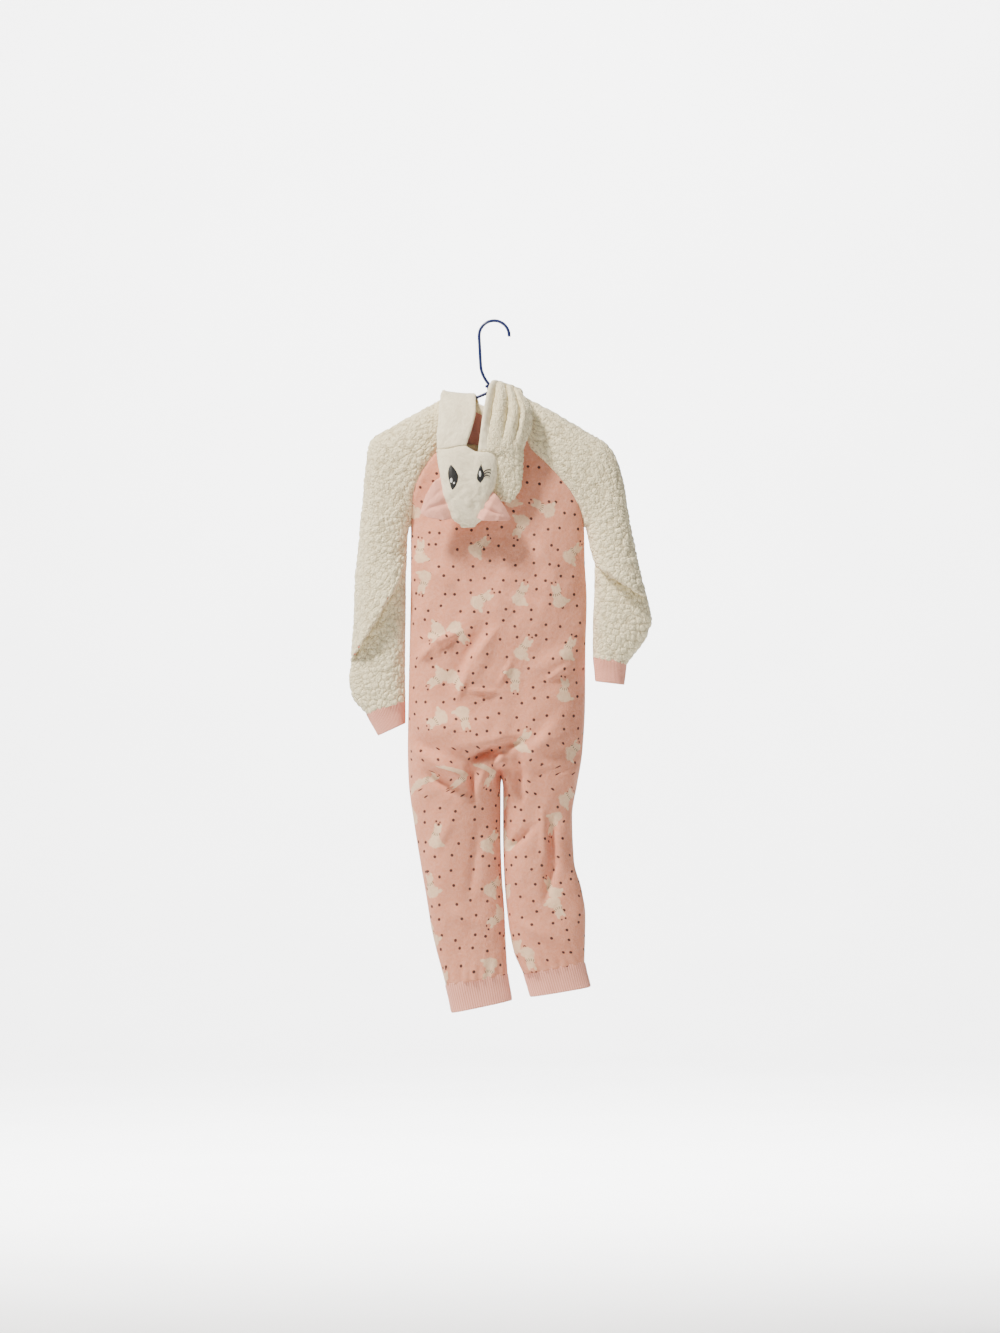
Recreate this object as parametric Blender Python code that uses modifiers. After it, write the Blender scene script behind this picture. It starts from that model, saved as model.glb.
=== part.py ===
"""A child's hooded onesie that hangs on a wire hanger, with its back turned to -Y.

The origin is under the bend of the hanger's hook, +Z is up, and -X is at the left of the back view.
The cloth is lofted through sections worked out from the short tables below. Tables and sizes are in
millimetres, and MM turns them into Blender's metres. Each panel is an open surface with a Solidify wall.
"""
import bmesh
import bpy
import numpy as np
from math import atan2, cos, pi, radians, sin

MM = 0.001

# Walls and clearances
FLEECE_WALL = 2.0
SHERPA_WALL = 3.0
RIB_WALL = 2.0
PLUSH_WALL = 2.4
LINING_WALL = 1.2
SEAM_GAP = 0.3
UNDERARM_GAP = 1.6
RAGLAN_GAP = 0.5
CROTCH_SEAM = 0.6
NECK_SEAM = 2.2
CUFF_SEAM = 0.6
CENTRE_BACK_GAP = 0.5
WELD = 0.05

# How far from the underarm and the crotch a seam's gap changes, and how soon the folds fade at a seam
UNDERARM_EASE = 45.0
CROTCH_EASE = (45.0, 20.0)
EDGE_HOLD = 1.6
FOLD_END_SHARE = 0.35

# Grid sizes: the yoke's rows, the body's rows below it and columns, sleeves, and cuffs
YOKE_ROWS = 12
BACK_ROWS = (9, 5, 11)
BACK_COLUMNS = 10
FRONT_ROWS = (5, 4, 7)
FRONT_COLUMNS = 9
SLEEVE_ROWS = 26
SLEEVE_COLUMNS = 20
ROWS_BELOW_LIP = 6
CUFF_ROWS = 4

# Roundness of a flattened cloth tube: higher is flatter with rounder ends
WIDTH_POWER = 2.5
DEPTH_POWER = 2.1

# Levels on the body
NECK_Z = -136.0
UNDERARM_Z = -307.5
CROTCH_Z = -680.0
CLOSING_Z = -625.0
FRONT_NECK_DIP = 34.0
FRONT_DIP_END = -300.0
ZIP_END_Z = -560.0
ZIP_HALF_GAP = 4.8

# Half outline of the body, from the neck down the raglan and the side to the ankle: z, left x, right x
SIDE = (
    (-136.0, -60.0, 42.0),
    (-187.5, -78.0, 57.0),
    (-211.5, -97.0, 81.0),
    (-234.0, -110.0, 102.0),
    (-259.5, -118.5, 121.5),
    (-285.0, -121.0, 133.5),
    (-307.5, -121.5, 138.0),
    (-357.0, -121.5, 139.0),
    (-417.0, -122.0, 142.0),
    (-492.0, -123.5, 140.0),
    (-567.0, -125.0, 139.5),
    (-642.0, -126.0, 135.5),
    (-690.0, -124.5, 128.0),
    (-741.0, -118.0, 120.0),
    (-813.0, -106.0, 123.0),
    (-856.5, -98.0, 134.0),
    (-900.0, -90.5, 140.0),
    (-978.0, -69.0, 138.5),
)

# Centre line down to the crotch: z, x
CENTRE = (
    (-136.0, -9.0),
    (-234.0, -3.0),
    (-307.5, 7.0),
    (-567.0, 9.0),
    (-680.0, 14.0),
)

# The two inseams: z, left leg x, right leg x
INSEAM = (
    (-680.0, 14.0, 14.0),
    (-698.0, 12.4, 17.2),
    (-771.0, 12.2, 17.4),
    (-828.0, 14.0, 19.0),
    (-885.0, 18.0, 23.5),
    (-942.0, 20.5, 33.0),
    (-978.0, 22.8, 48.0),
)

# Depth of the body from its mid plane: z, back, front
DEPTH = (
    (-136.0, 21.0, 22.0),
    (-187.5, 26.0, 27.0),
    (-260.0, 31.0, 33.0),
    (-307.5, 34.0, 37.0),
    (-417.0, 40.0, 42.0),
    (-567.0, 46.0, 42.0),
    (-640.0, 50.0, 38.0),
    (-680.0, 45.0, 36.0),
    (-741.0, 36.0, 33.0),
    (-885.0, 29.0, 27.0),
    (-978.0, 24.0, 23.0),
)

# Depth of the raglan seam from the mid plane: z, depth. It closes at the underarm
RAGLAN_DEPTH = (
    (-136.0, 18.5),
    (-187.5, 22.0),
    (-234.0, 22.5),
    (-262.0, 19.0),
    (-285.0, 11.5),
    (-300.0, 4.5),
    (-307.5, 0.0),
)

# How much lower than the level of the row each leg's outer edge ends
HEM_DROP = (17.0, -17.0)

# Folds of the back: start x, start z, end x, end z, half width, height (a trough is negative)
BACK_FOLDS = (
    (-58.0, -636.0, 34.0, -628.0, 11.0, 9.0),
    (-40.0, -655.0, 26.0, -642.0, 7.0, -8.0),
    (-124.0, -610.0, -84.0, -655.0, 9.0, -6.0),
    (-4.0, -452.0, -74.0, -556.0, 15.0, -7.0),
    (6.0, -466.0, -50.0, -561.0, 13.0, 6.0),
    (-108.0, -506.0, -48.0, -468.0, 12.0, 6.0),
    (88.0, -742.0, 84.0, -862.0, 9.0, -6.0),
    (62.0, -520.0, 118.0, -498.0, 12.0, 4.0),
)

# A sleeve's rows: position along it, inner z, inner x past the underarm, outer x, outer z,
# near depth, far depth, and how far the cloth tucks up behind the row before it
SLEEVE_LEFT = (
    (0.0, -136.0, None, -64.5, -112.5, 19.5, 19.5, 0.0),
    (1.0, -187.5, None, -93.0, -126.5, 24.0, 24.0, 0.0),
    (2.0, -211.5, None, -121.5, -142.5, 25.5, 25.0, 0.0),
    (3.0, -234.0, None, -150.0, -159.0, 26.0, 25.0, 0.0),
    (4.0, -259.5, None, -178.5, -175.5, 25.0, 24.0, 0.0),
    (5.0, -285.0, None, -187.0, -199.5, 23.5, 23.0, 0.0),
    (6.0, -307.5, -125.5, -190.0, -232.0, 23.0, 23.0, 0.0),
    (7.0, -324.0, -128.0, -196.5, -301.5, 24.0, 24.0, 0.0),
    (8.0, -342.0, -128.5, -203.0, -370.0, 26.0, 24.0, 0.0),
    (9.0, -358.0, -129.0, -207.5, -448.0, 31.0, 23.0, 0.0),
    (10.0, -370.0, -129.5, -210.0, -505.0, 37.0, 22.0, 0.0),
    (11.0, -374.0, -130.0, -211.0, -512.0, 15.0, 21.0, 11.0),
    (12.0, -430.0, -130.5, -213.0, -536.0, 17.0, 20.0, 0.0),
    (13.0, -512.0, -131.5, -209.0, -560.0, 20.0, 20.0, 0.0),
    (14.0, -569.0, -131.0, -187.5, -588.0, 20.0, 18.0, 0.0),
)
SLEEVE_RIGHT = (
    (0.0, -136.0, None, 46.0, -112.5, 19.5, 19.5, 0.0),
    (1.0, -187.5, None, 75.0, -127.0, 24.0, 24.0, 0.0),
    (2.0, -211.5, None, 106.0, -145.0, 25.5, 25.0, 0.0),
    (3.0, -234.0, None, 139.0, -164.0, 26.0, 25.0, 0.0),
    (4.0, -259.5, None, 173.0, -184.0, 25.0, 24.0, 0.0),
    (5.0, -285.0, None, 189.0, -213.0, 23.5, 23.0, 0.0),
    (6.0, -307.5, 142.0, 196.0, -244.0, 23.0, 23.0, 0.0),
    (7.0, -325.0, 145.5, 205.5, -301.5, 24.0, 24.0, 0.0),
    (8.0, -342.0, 149.0, 214.0, -338.0, 26.0, 24.0, 0.0),
    (9.0, -353.0, 152.0, 222.0, -376.0, 31.0, 23.0, 0.0),
    (10.0, -362.0, 155.0, 230.5, -410.0, 36.0, 22.0, 0.0),
    (11.0, -366.0, 155.0, 232.0, -416.0, 15.0, 21.0, 9.0),
    (12.0, -405.0, 154.5, 238.0, -444.0, 18.0, 21.0, 0.0),
    (13.0, -455.0, 152.5, 231.0, -471.0, 20.0, 20.0, 0.0),
    (14.0, -503.0, 152.5, 201.0, -514.0, 19.0, 18.0, 0.0),
)
UNDERARM_ROW = 6.0
LAST_SLEEVE_ROW = 14.0
LIP_ROW = 10.0

# A cuff's lower edge, below the last row of its sleeve or leg: inner x, z, outer x, z, share of the depth
CUFFS = {
    "wrist_cuff_left": (-131.0, -601.0, -170.5, -619.0, 0.9),
    "wrist_cuff_right": (156.0, -538.0, 197.5, -543.0, 0.9),
    "ankle_cuff_left": (29.0, -1016.0, -60.0, -1035.0, 0.92),
    "ankle_cuff_right": (58.0, -1011.0, 147.0, -996.0, 0.92),
}
CUFF_WAIST = 0.07

# The hood's rows. Each runs from the face edge F round the side fold S to the back seam B:
# row, F x y z, S x y z, B x y z
HOOD_LEFT = (
    (1.0, -14.0, 24.0, -150.0, -67.0, -1.0, -105.5, -9.6, -23.0, -129.5),
    (2.0, -22.0, 13.0, -113.5, -72.0, -9.0, -103.5, -9.6, -27.5, -130.5),
    (3.0, -25.0, -10.0, -108.0, -75.0, -20.0, -107.0, -9.6, -30.0, -138.0),
    (4.0, -24.5, -34.0, -119.0, -77.0, -31.0, -116.0, -9.6, -32.0, -149.0),
    (5.0, -24.5, -50.0, -137.0, -78.5, -39.0, -137.0, -9.8, -34.0, -163.0),
    (6.0, -30.0, -58.0, -161.0, -80.0, -46.0, -163.0, -10.0, -36.0, -179.0),
    (7.0, -39.0, -65.0, -188.0, -81.0, -53.5, -194.0, -10.5, -38.0, -197.0),
)
HOOD_RIGHT = (
    (1.0, 2.0, 24.0, -148.0, 46.0, -1.0, -104.5, -8.4, -23.0, -129.5),
    (2.0, 13.0, 13.0, -102.5, 43.0, -12.0, -102.0, -8.4, -27.5, -130.5),
    (2.5, 15.5, -3.0, -91.5, 42.5, -18.0, -101.5, -8.4, -29.0, -134.0),
    (3.0, 3.0, -17.0, -88.0, 42.0, -25.0, -103.0, -8.4, -30.0, -138.0),
    (4.0, -3.0, -38.0, -96.0, 50.0, -36.0, -116.0, -8.4, -32.0, -149.0),
    (5.0, -9.5, -54.0, -121.0, 60.0, -43.0, -142.0, -8.2, -34.0, -163.0),
    (6.0, -15.0, -61.0, -155.0, 56.0, -47.0, -168.0, -8.0, -36.0, -179.0),
    (7.0, -20.0, -65.0, -196.4, 47.0, -48.0, -190.0, -7.5, -38.0, -197.0),
    (8.0, 9.0, -60.0, -193.0, 46.0, -48.0, -203.0, -3.0, -39.0, -206.0),
    (9.0, 11.0, -58.5, -214.0, 45.5, -48.5, -223.0, 1.0, -40.0, -220.0),
    (10.0, 9.5, -57.0, -236.0, 43.5, -49.0, -245.0, 2.0, -41.5, -240.0),
    (11.0, 6.0, -54.0, -255.0, 35.0, -49.0, -262.0, 4.0, -43.5, -256.0),
    (12.0, 9.0, -50.5, -268.0, 25.0, -49.5, -272.0, 8.0, -47.5, -268.0),
)
# Each side panel: side, rows, near columns, far columns
HOOD_PANELS = {
    "hood_left": (-1, 12, 12, 9),
    "hood_right": (1, 17, 19, 9),
}
# Pleats that fan over the right side panel: how many, columns each, height, and row, share of the height
PLEAT_COUNT = 3
PLEAT_PERIOD = 4
PLEAT_HEIGHT = 5.0
PLEAT_FADE = (
    (1.0, 0.0),
    (2.6, 1.0),
    (6.0, 1.0),
    (8.5, 0.0),
)
# The lining shows over these rows and far columns of the side panels
LINING_ROWS = (3.6, 6.5, 7)
LINING_FROM = 5

# Top rim of the face panel's near side, below the two side panels and the face opening: x, z
FACE_RIM = (
    (-82.0, -195.8),
    (-60.0, -192.6),
    (-40.0, -190.0),
    (-31.0, -194.6),
    (-20.0, -198.6),
    (8.0, -195.2),
)
FACE_RIM_ROWS = 1.6
FACE_GRID = (12, 20)
CROWN_OPENING = 4.0

# The face panel's rows, from the face opening to the crown: row, left x, right x, left z, right z,
# near y, far y
FACE_ROWS = (
    (0.0, -81.0, 4.5, -198.5, -198.5, -65.5, -42.5),
    (1.0, -79.0, 7.0, -216.0, -213.0, -71.0, -42.5),
    (2.0, -76.0, 6.0, -237.0, -234.0, -74.0, -43.5),
    (3.0, -72.5, 0.0, -258.0, -256.0, -74.0, -45.0),
    (4.0, -66.5, -5.0, -279.0, -277.0, -71.0, -47.0),
    (5.0, -58.0, -13.0, -296.0, -294.0, -66.0, -50.0),
    (6.0, -46.0, -24.0, -306.5, -305.0, -60.5, -56.5),
)

# An ear: its root along the face panel (row from, row to, side of the panel), then its tip and fold
EARS = {
    "ear_left": (-1, 1.9, 4.7, (-106.0, -61.0, -287.0), (-90.0, -70.0, -296.0)),
    "ear_right": (1, 3.0, 4.9, (27.0, -58.0, -297.0), (-1.0, -74.0, -302.0)),
}
EAR_GRID = (6, 7)
EAR_ROOT_ANGLES = (80.0, 60.0)
EAR_CLEARANCE = (3.2, 1.5)
EAR_TIP_WIDTH = 0.12
EAR_BEND = 0.55
EAR_CUP = 7.0
EAR_CUP_START = 0.15

# Hanger: corners of the wire's route as x, z, and the bend radius at each
WIRE_RADIUS = 2.2
HOOK_RADIUS = 22.6
HOOK_X = 3.2
HOOK_END_ANGLE = -4.0
ROUTE = (
    (-17.2, -62.0, 30.0),
    (-16.0, -79.0, 14.0),
    (2.5, -102.5, 5.0),
    (-192.0, -184.2, 5.0),
    (186.0, -196.2, 5.0),
)
WRAP_RADIUS = 4.9
WRAP_PITCH = 4.9
WRAP_TURNS = 1.5
WRAP_START = 4.0
WRAP_LEAD_IN = 3.4
WRAP_STEPS = 10

# Zip
TAPE_HALF_WIDTH = 13.0
TAPE_WALL = 0.8
TAPE_GAP = 0.5
TAPE_CURVE = 0.8
TAPE_ROWS = 14
TAPE_COLUMNS = 5
TAPE_TAIL = 4.0
ZIP_TOP_Z = -172.0
SLIDER_Z = -186.0
SLIDER_SIZE = (8.0, 2.6, 11.0)
BRIDGE_SIZE = (2.4, 3.4, 8.0)
BRIDGE_WALL = 1.0
BRIDGE_ROOT = 0.4
SLIDER_LIFT = 0.9
THROUGH = 2.0
PULL_SIZE = (4.8, 1.2, 22.0)
PULL_HOLE = (3.2, 5.4)
EYE_BAR = 1.3

# Half gap between the two fronts: z, gap
ZIP_GAP = (
    (CROTCH_Z, 1.5),
    (CLOSING_Z, 1.0),
    (ZIP_END_Z - 30.0, SEAM_GAP),
    (ZIP_END_Z, ZIP_HALF_GAP),
    (ZIP_END_Z + 10.0, ZIP_HALF_GAP),
)


def smooth(knots, values, at):
    """Reads a table as a monotone cubic: no overshoot between its rows."""
    knots, values, at = np.asarray(knots, float), np.asarray(values, float), np.asarray(at, float)
    if knots[0] > knots[-1]:
        knots, values = knots[::-1], values[::-1]
    step = np.diff(knots)
    slope = np.diff(values) / step
    tangent = np.zeros(len(knots))
    tangent[0], tangent[-1] = slope[0], slope[-1]
    same = slope[:-1] * slope[1:] > 0
    near, far = 2 * step[1:] + step[:-1], step[1:] + 2 * step[:-1]
    safe = np.where(same, slope[:-1], 1.0), np.where(same, slope[1:], 1.0)
    tangent[1:-1] = np.where(same, (near + far) / (near / safe[0] + far / safe[1]), 0.0)
    at = np.clip(at, knots[0], knots[-1])
    cell = np.clip(np.searchsorted(knots, at) - 1, 0, len(step) - 1)
    t = (at - knots[cell]) / step[cell]
    return ((2 * t**3 - 3 * t**2 + 1) * values[cell] + (t**3 - 2 * t**2 + t) * step[cell] * tangent[cell]
            + (3 * t**2 - 2 * t**3) * values[cell + 1] + (t**3 - t**2) * step[cell] * tangent[cell + 1])


def column(table, index, at):
    """One column of a table, read at a value of its first column."""
    return smooth([row[0] for row in table], [row[index] for row in table], at)


def across(angle):
    """Place across a flattened tube, -1 to 1, for an angle of -pi/2 to pi/2."""
    return np.sign(np.sin(angle)) * np.abs(np.sin(angle)) ** (2 / WIDTH_POWER)


def bulge(angle):
    """Depth of a flattened tube, 1 in the middle and 0 at its folded sides."""
    return np.abs(np.cos(angle)) ** (2 / DEPTH_POWER)


def angle_at_depth(share):
    """The angle where a tube has this share of its depth."""
    return np.arccos(np.clip(share, 0.0, 1.0) ** (DEPTH_POWER / 2))


def fold_height(x, z, folds):
    """Sum of soft ridges and troughs, each along a line and fading at its ends."""
    total = np.zeros(np.broadcast(x, z).shape)
    for x0, z0, x1, z1, width, height in folds:
        along = np.array([x1 - x0, z1 - z0])
        share = ((x - x0) * along[0] + (z - z0) * along[1]) / (along @ along)
        held = np.clip(share, 0.0, 1.0)
        apart = np.hypot(x - x0 - held * along[0], z - z0 - held * along[1])
        fade = FOLD_END_SHARE + (1 - FOLD_END_SHARE) * np.sin(pi * held)
        total = total + height * np.exp(-((apart / width) ** 2)) * fade
    return total


def body_rows(torso_rows, seat_rows, leg_rows):
    """Levels of the body's rows: the yoke's are the sleeve's own, and they crowd round the crotch."""
    yoke = column(SLEEVE_LEFT, 1, np.linspace(0.0, UNDERARM_ROW, YOKE_ROWS))
    torso = np.linspace(UNDERARM_Z, CLOSING_Z, torso_rows + 1)[1:]
    seat = np.linspace(CLOSING_Z, CROTCH_Z, seat_rows + 1)[1:]
    legs = np.linspace(CROTCH_Z, INSEAM[-1][0], leg_rows + 1)[1:]
    return np.concatenate([yoke, torso, seat, legs])


def body_panel(side, face, levels, columns):
    """Half of the front (face 1) or back (face -1), from the centre line or inseam to the side."""
    level = levels[:, None]
    share = np.linspace(0.0, 1.0, columns)[None, :]
    pick = 1 if side < 0 else 2
    outer = column(SIDE, pick, level)
    inner = np.where(level > CROTCH_Z, column(CENTRE, 1, level), column(INSEAM, pick, level))
    depth = column(DEPTH, 1 if face < 0 else 2, level)
    raglan = np.where(level > UNDERARM_Z, column(RAGLAN_DEPTH, 1, level), 0.0)
    closing = smooth([CROTCH_Z, CLOSING_Z], [1.0, 0.0], level)
    first = -pi / 2 * closing**3
    last = angle_at_depth(raglan / depth)
    angle = first + (last - first) * share
    start, end = across(first), across(last)
    over = (across(angle) - start) / (end - start)
    x = inner + (outer - inner) * over
    y = face * depth * bulge(angle)
    z = level - HEM_DROP[pick - 1] * over * smooth([INSEAM[-1][0], CROTCH_Z], [1.0, 0.0], level) ** 2
    closed_side = level[:, 0] < UNDERARM_Z + 1
    x[closed_side, -2] = x[closed_side, -1]
    closed_inseam = level[:, 0] < CROTCH_Z - 1
    x[closed_inseam, 1] = x[closed_inseam, 0]
    if face < 0:
        held_at_edges = np.clip(bulge(angle) * EDGE_HOLD, 0.0, 1.0)
        y = y - fold_height(x, z, BACK_FOLDS) * held_at_edges
    else:
        z = z - FRONT_NECK_DIP * (1 - share**2) * smooth([FRONT_DIP_END, NECK_Z], [0.0, 1.0], level) ** 2
    return np.stack([x, y, z], axis=-1)


def levels_above_crotch(points):
    """Which rows still have one centre line: the crotch's own row is the last of them."""
    return points[:, :1, 2] > CROTCH_Z - 1


def pull_from_seams(points, face):
    """Opens the gaps at the raglan, the side, the inseam and, on a front, the zip."""
    points = points.copy()
    side = np.sign(points[:, -1, 0] - points[:, 0, 0])[:, None]
    above = points[:, -1:, 2] > UNDERARM_Z + 1
    yoke = points[:, -1:, 2] > UNDERARM_Z - 1
    eased = [UNDERARM_Z, UNDERARM_Z + UNDERARM_EASE]
    near_arm = smooth(eased, [UNDERARM_GAP, RAGLAN_GAP], points[:, -1:, 2])
    points[:, -2:, 0] -= np.where(yoke, side * near_arm, 0.0) * [0.5, 1.0]
    points[:, -1:, 1] += np.where(above, 0.0, face * SEAM_GAP / 2 - points[:, -1:, 1])
    legs = points[:, :1, 2] <= CROTCH_Z + 1
    eased = [CROTCH_Z - CROTCH_EASE[0], CROTCH_Z - CROTCH_EASE[1]]
    inseam = smooth(eased, [SEAM_GAP / 2, CROTCH_SEAM], points[:, :1, 2])
    points[:, :1, 1] += np.where(legs, face * inseam - points[:, :1, 1], 0.0)
    if face > 0:
        gap = column(ZIP_GAP, 1, points[:, :, 2])
        near_centre = np.linspace(1.0, 0.0, points.shape[1])[None, :] ** 2
        points[:, :, 0] += np.where(levels_above_crotch(points), side * gap * near_centre, 0.0)
    return points


def sleeve(side, table):
    """A sleeve's grid: each row runs over the near side to the outer fold and back on the far side."""
    upper = np.linspace(UNDERARM_ROW, LIP_ROW, SLEEVE_ROWS - YOKE_ROWS - ROWS_BELOW_LIP + 1)
    lower = np.linspace(LIP_ROW + 1, LAST_SLEEVE_ROW, ROWS_BELOW_LIP)
    at = np.concatenate([np.linspace(0.0, UNDERARM_ROW, YOKE_ROWS), upper[1:], lower])
    inner_z = column([(r[0], r[1]) for r in table], 1, at)
    past = [(r[0], r[2]) for r in table if r[2] is not None]
    pick = 1 if side < 0 else 2
    inner_x = np.where(at < UNDERARM_ROW, column(SIDE, pick, inner_z), column(past, 1, at))
    outer_x, outer_z = column(table, 3, at), column(table, 4, at)
    near, far, tuck = column(table, 5, at), column(table, 6, at), column(table, 7, at)
    raglan = np.where(at < UNDERARM_ROW, column(RAGLAN_DEPTH, 1, inner_z), 0.0)
    half = SLEEVE_COLUMNS // 2
    grid = np.zeros((len(at), 2 * half + 1, 3))
    for i in range(len(at)):
        for k in range(2 * half + 1):
            face = -1 if k <= half else 1
            depth = near[i] if face < 0 else far[i]
            first = -angle_at_depth(raglan[i] / depth)
            share = k / half if face < 0 else (2 * half - k) / half
            angle = first + (pi / 2 - first) * share
            across_row = (across(angle) - across(first)) / (1 - across(first))
            x = inner_x[i] + (outer_x[i] - inner_x[i]) * across_row
            z = inner_z[i] + (outer_z[i] - inner_z[i]) * across_row
            y = face * depth * bulge(angle)
            if face < 0:
                z += tuck[i] * bulge(angle) ** 3
            grid[i, k] = x, y, z
    gap = smooth([0.0, UNDERARM_ROW - 1.5, UNDERARM_ROW], [RAGLAN_GAP, RAGLAN_GAP, UNDERARM_GAP], at)
    open_rows = at < UNDERARM_ROW - 0.01
    for edge in (0, -1):
        grid[open_rows, edge, 0] += side * gap[open_rows]
    return grid


def hood_row(table, row, near_columns, far_columns):
    """One row of a side panel: from its face edge over the near side, round the fold, to the back seam."""
    face_edge, fold, back = ([float(column(table, first + j, row)) for j in range(3)] for first in (1, 4, 7))
    points = np.zeros((near_columns + far_columns + 1, 3))
    for k in range(len(points)):
        if k <= near_columns:
            end, place = face_edge, k / near_columns
        else:
            end, place = back, (near_columns + far_columns - k) / far_columns
        over = sin(place * pi / 2)
        deep = float(bulge(np.arcsin(over ** (WIDTH_POWER / 2))))
        x = end[0] + (fold[0] - end[0]) * over
        z = end[2] + (fold[2] - end[2]) * over
        points[k] = x, fold[1] + (end[1] - fold[1]) * deep, z
    return points


def hood_half(table, neck_row, side, rows, near_columns, far_columns):
    """A side panel of the hood, from the neckline to its last row. The right one is pleated."""
    at = np.linspace(1.0, table[-1][0], rows)
    grid = np.array([neck_row] + [hood_row(table, row, near_columns, far_columns) for row in at])
    if side > 0:
        held = column(PLEAT_FADE, 1, at)
        for k in range(PLEAT_PERIOD * PLEAT_COUNT + 1):
            grid[1:, k, 1] -= held * PLEAT_HEIGHT * cos(2 * pi * k / PLEAT_PERIOD)
    return grid


def neckline(panels, side, columns):
    """The neck edge from centre front over the shoulder to centre back, read off the panels' tops."""
    front, cap, back = panels
    edge = np.concatenate([front[0], cap[0][::-1][1:-1], back[0][::-1]])
    below = np.concatenate([front[1], cap[1][::-1][1:-1], back[1][::-1]])
    out = (edge - below) / np.linalg.norm(edge - below, axis=1)[:, None]
    edge = edge + NECK_SEAM * out
    run = np.concatenate([[0.0], np.cumsum(np.linalg.norm(np.diff(edge, axis=0), axis=1))])
    at = np.linspace(0.0, run[-1], columns)
    row = np.stack([np.interp(at, run, edge[:, i]) for i in range(3)], axis=-1)
    row[0, 0] += side * CENTRE_BACK_GAP
    row[-1, 0] += side * CENTRE_BACK_GAP
    return row


def face_point(row, angle):
    """A point of the face panel: angle 0 is its near middle, and it runs round to the far middle."""
    left, right = column(FACE_ROWS, 1, row), column(FACE_ROWS, 2, row)
    left_z, right_z = column(FACE_ROWS, 3, row), column(FACE_ROWS, 4, row)
    near, far = column(FACE_ROWS, 5, row), column(FACE_ROWS, 6, row)
    turned = atan2(sin(angle), abs(cos(angle)))
    place = float(across(turned))
    middle, half = (near + far) / 2, (far - near) / 2
    deep = float(bulge(turned)) * (-1 if cos(angle) > 0 else 1)
    x = (left + right) / 2 + (right - left) / 2 * place
    z = (left_z + right_z) / 2 + (right_z - left_z) / 2 * place
    held = max(0.0, 1 - row / FACE_RIM_ROWS)
    rim = float(column(FACE_RIM, 1, x)) if cos(angle) > -0.01 else z
    return np.array([x, middle + half * deep, z + (rim - z) * held])


def face_grid(rows, columns):
    """The face panel: a pouch that is open at the face opening and closed at the crown."""
    at = np.linspace(0.0, FACE_ROWS[-1][0], rows)
    turns = [2 * pi * k / columns for k in range(columns)]
    return np.array([[face_point(row, turn) for turn in turns] for row in at])


def ear_grid(side, first, last, tip, fold):
    """An ear: its root follows the face panel's side seam, and its sheet is cupped towards its tip."""
    rows, columns = EAR_GRID
    root = []
    for k in range(columns):
        share = k / (columns - 1)
        angle = side * radians(EAR_ROOT_ANGLES[0] - EAR_ROOT_ANGLES[1] * sin(pi * share))
        point = face_point(first + (last - first) * share, angle)
        root.append(point + [side * EAR_CLEARANCE[0], -EAR_CLEARANCE[1] * (1 + sin(pi * share)), 0.0])
    root, tip, fold = np.array(root), np.array(tip), np.array(fold)
    grid = np.zeros((rows, columns, 3))
    for i in range(rows):
        out = i / (rows - 1)
        for k in range(columns):
            share = k / (columns - 1)
            spread = EAR_TIP_WIDTH * (fold - tip) * share + tip
            folded = (fold - (root[-1] + tip) / 2) * sin(pi * out) * share**2 * EAR_BEND
            cup = EAR_CUP * sin(pi * share) * (1 - out) * sin(pi * min(1.0, out + EAR_CUP_START))
            grid[i, k] = root[k] * (1 - out) + spread * out + folded - [0.0, cup, 0.0]
    return grid


def material(name, colour, roughness, metallic=0.0):
    """A plain Principled material."""
    made = bpy.data.materials.new(name)
    made.use_nodes = True
    shader = made.node_tree.nodes["Principled BSDF"]
    shader.inputs["Base Color"].default_value = (*colour, 1.0)
    shader.inputs["Roughness"].default_value = roughness
    shader.inputs["Metallic"].default_value = metallic
    return made


def add_object(name, data, finish):
    """A named object in the onesie's collection."""
    made = bpy.data.objects.new(name, data)
    data.materials.append(finish)
    bpy.data.collections["hooded_onesie"].objects.link(made)
    return made


def sheet(name, grids, wall, finish, tube=False, close_below=0.0):
    """A cloth panel: grids of points (in millimetres) welded where they meet, with a Solidify wall.

    A tube's rows close into rings. Its lowest ring is filled where it lies within close_below of the end.
    """
    mesh = bpy.data.meshes.new(name)
    work = bmesh.new()
    for grid in grids:
        rows, columns = grid.shape[:2]
        points = [[work.verts.new(grid[i, k] * MM) for k in range(columns)] for i in range(rows)]
        for i in range(rows - 1):
            for k in range(columns - 1):
                work.faces.new((points[i][k], points[i + 1][k], points[i + 1][k + 1], points[i][k + 1]))
            if tube:
                work.faces.new((points[i][-1], points[i + 1][-1], points[i + 1][0], points[i][0]))
    bmesh.ops.remove_doubles(work, verts=work.verts, dist=WELD * MM)
    if close_below:
        rim = [edge for edge in work.edges if edge.is_boundary]
        low = min(vert.co.z for vert in work.verts)
        ring = [edge for edge in rim if max(v.co.z for v in edge.verts) < low + close_below * MM]
        bmesh.ops.holes_fill(work, edges=ring, sides=0)
    bmesh.ops.recalc_face_normals(work, faces=work.faces)
    work.to_mesh(mesh)
    work.free()
    mesh.shade_smooth()
    made = add_object(name, mesh, finish)
    thick = made.modifiers.new("cloth wall", "SOLIDIFY")
    thick.thickness = wall * MM
    thick.offset = 0.0
    return made


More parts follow.
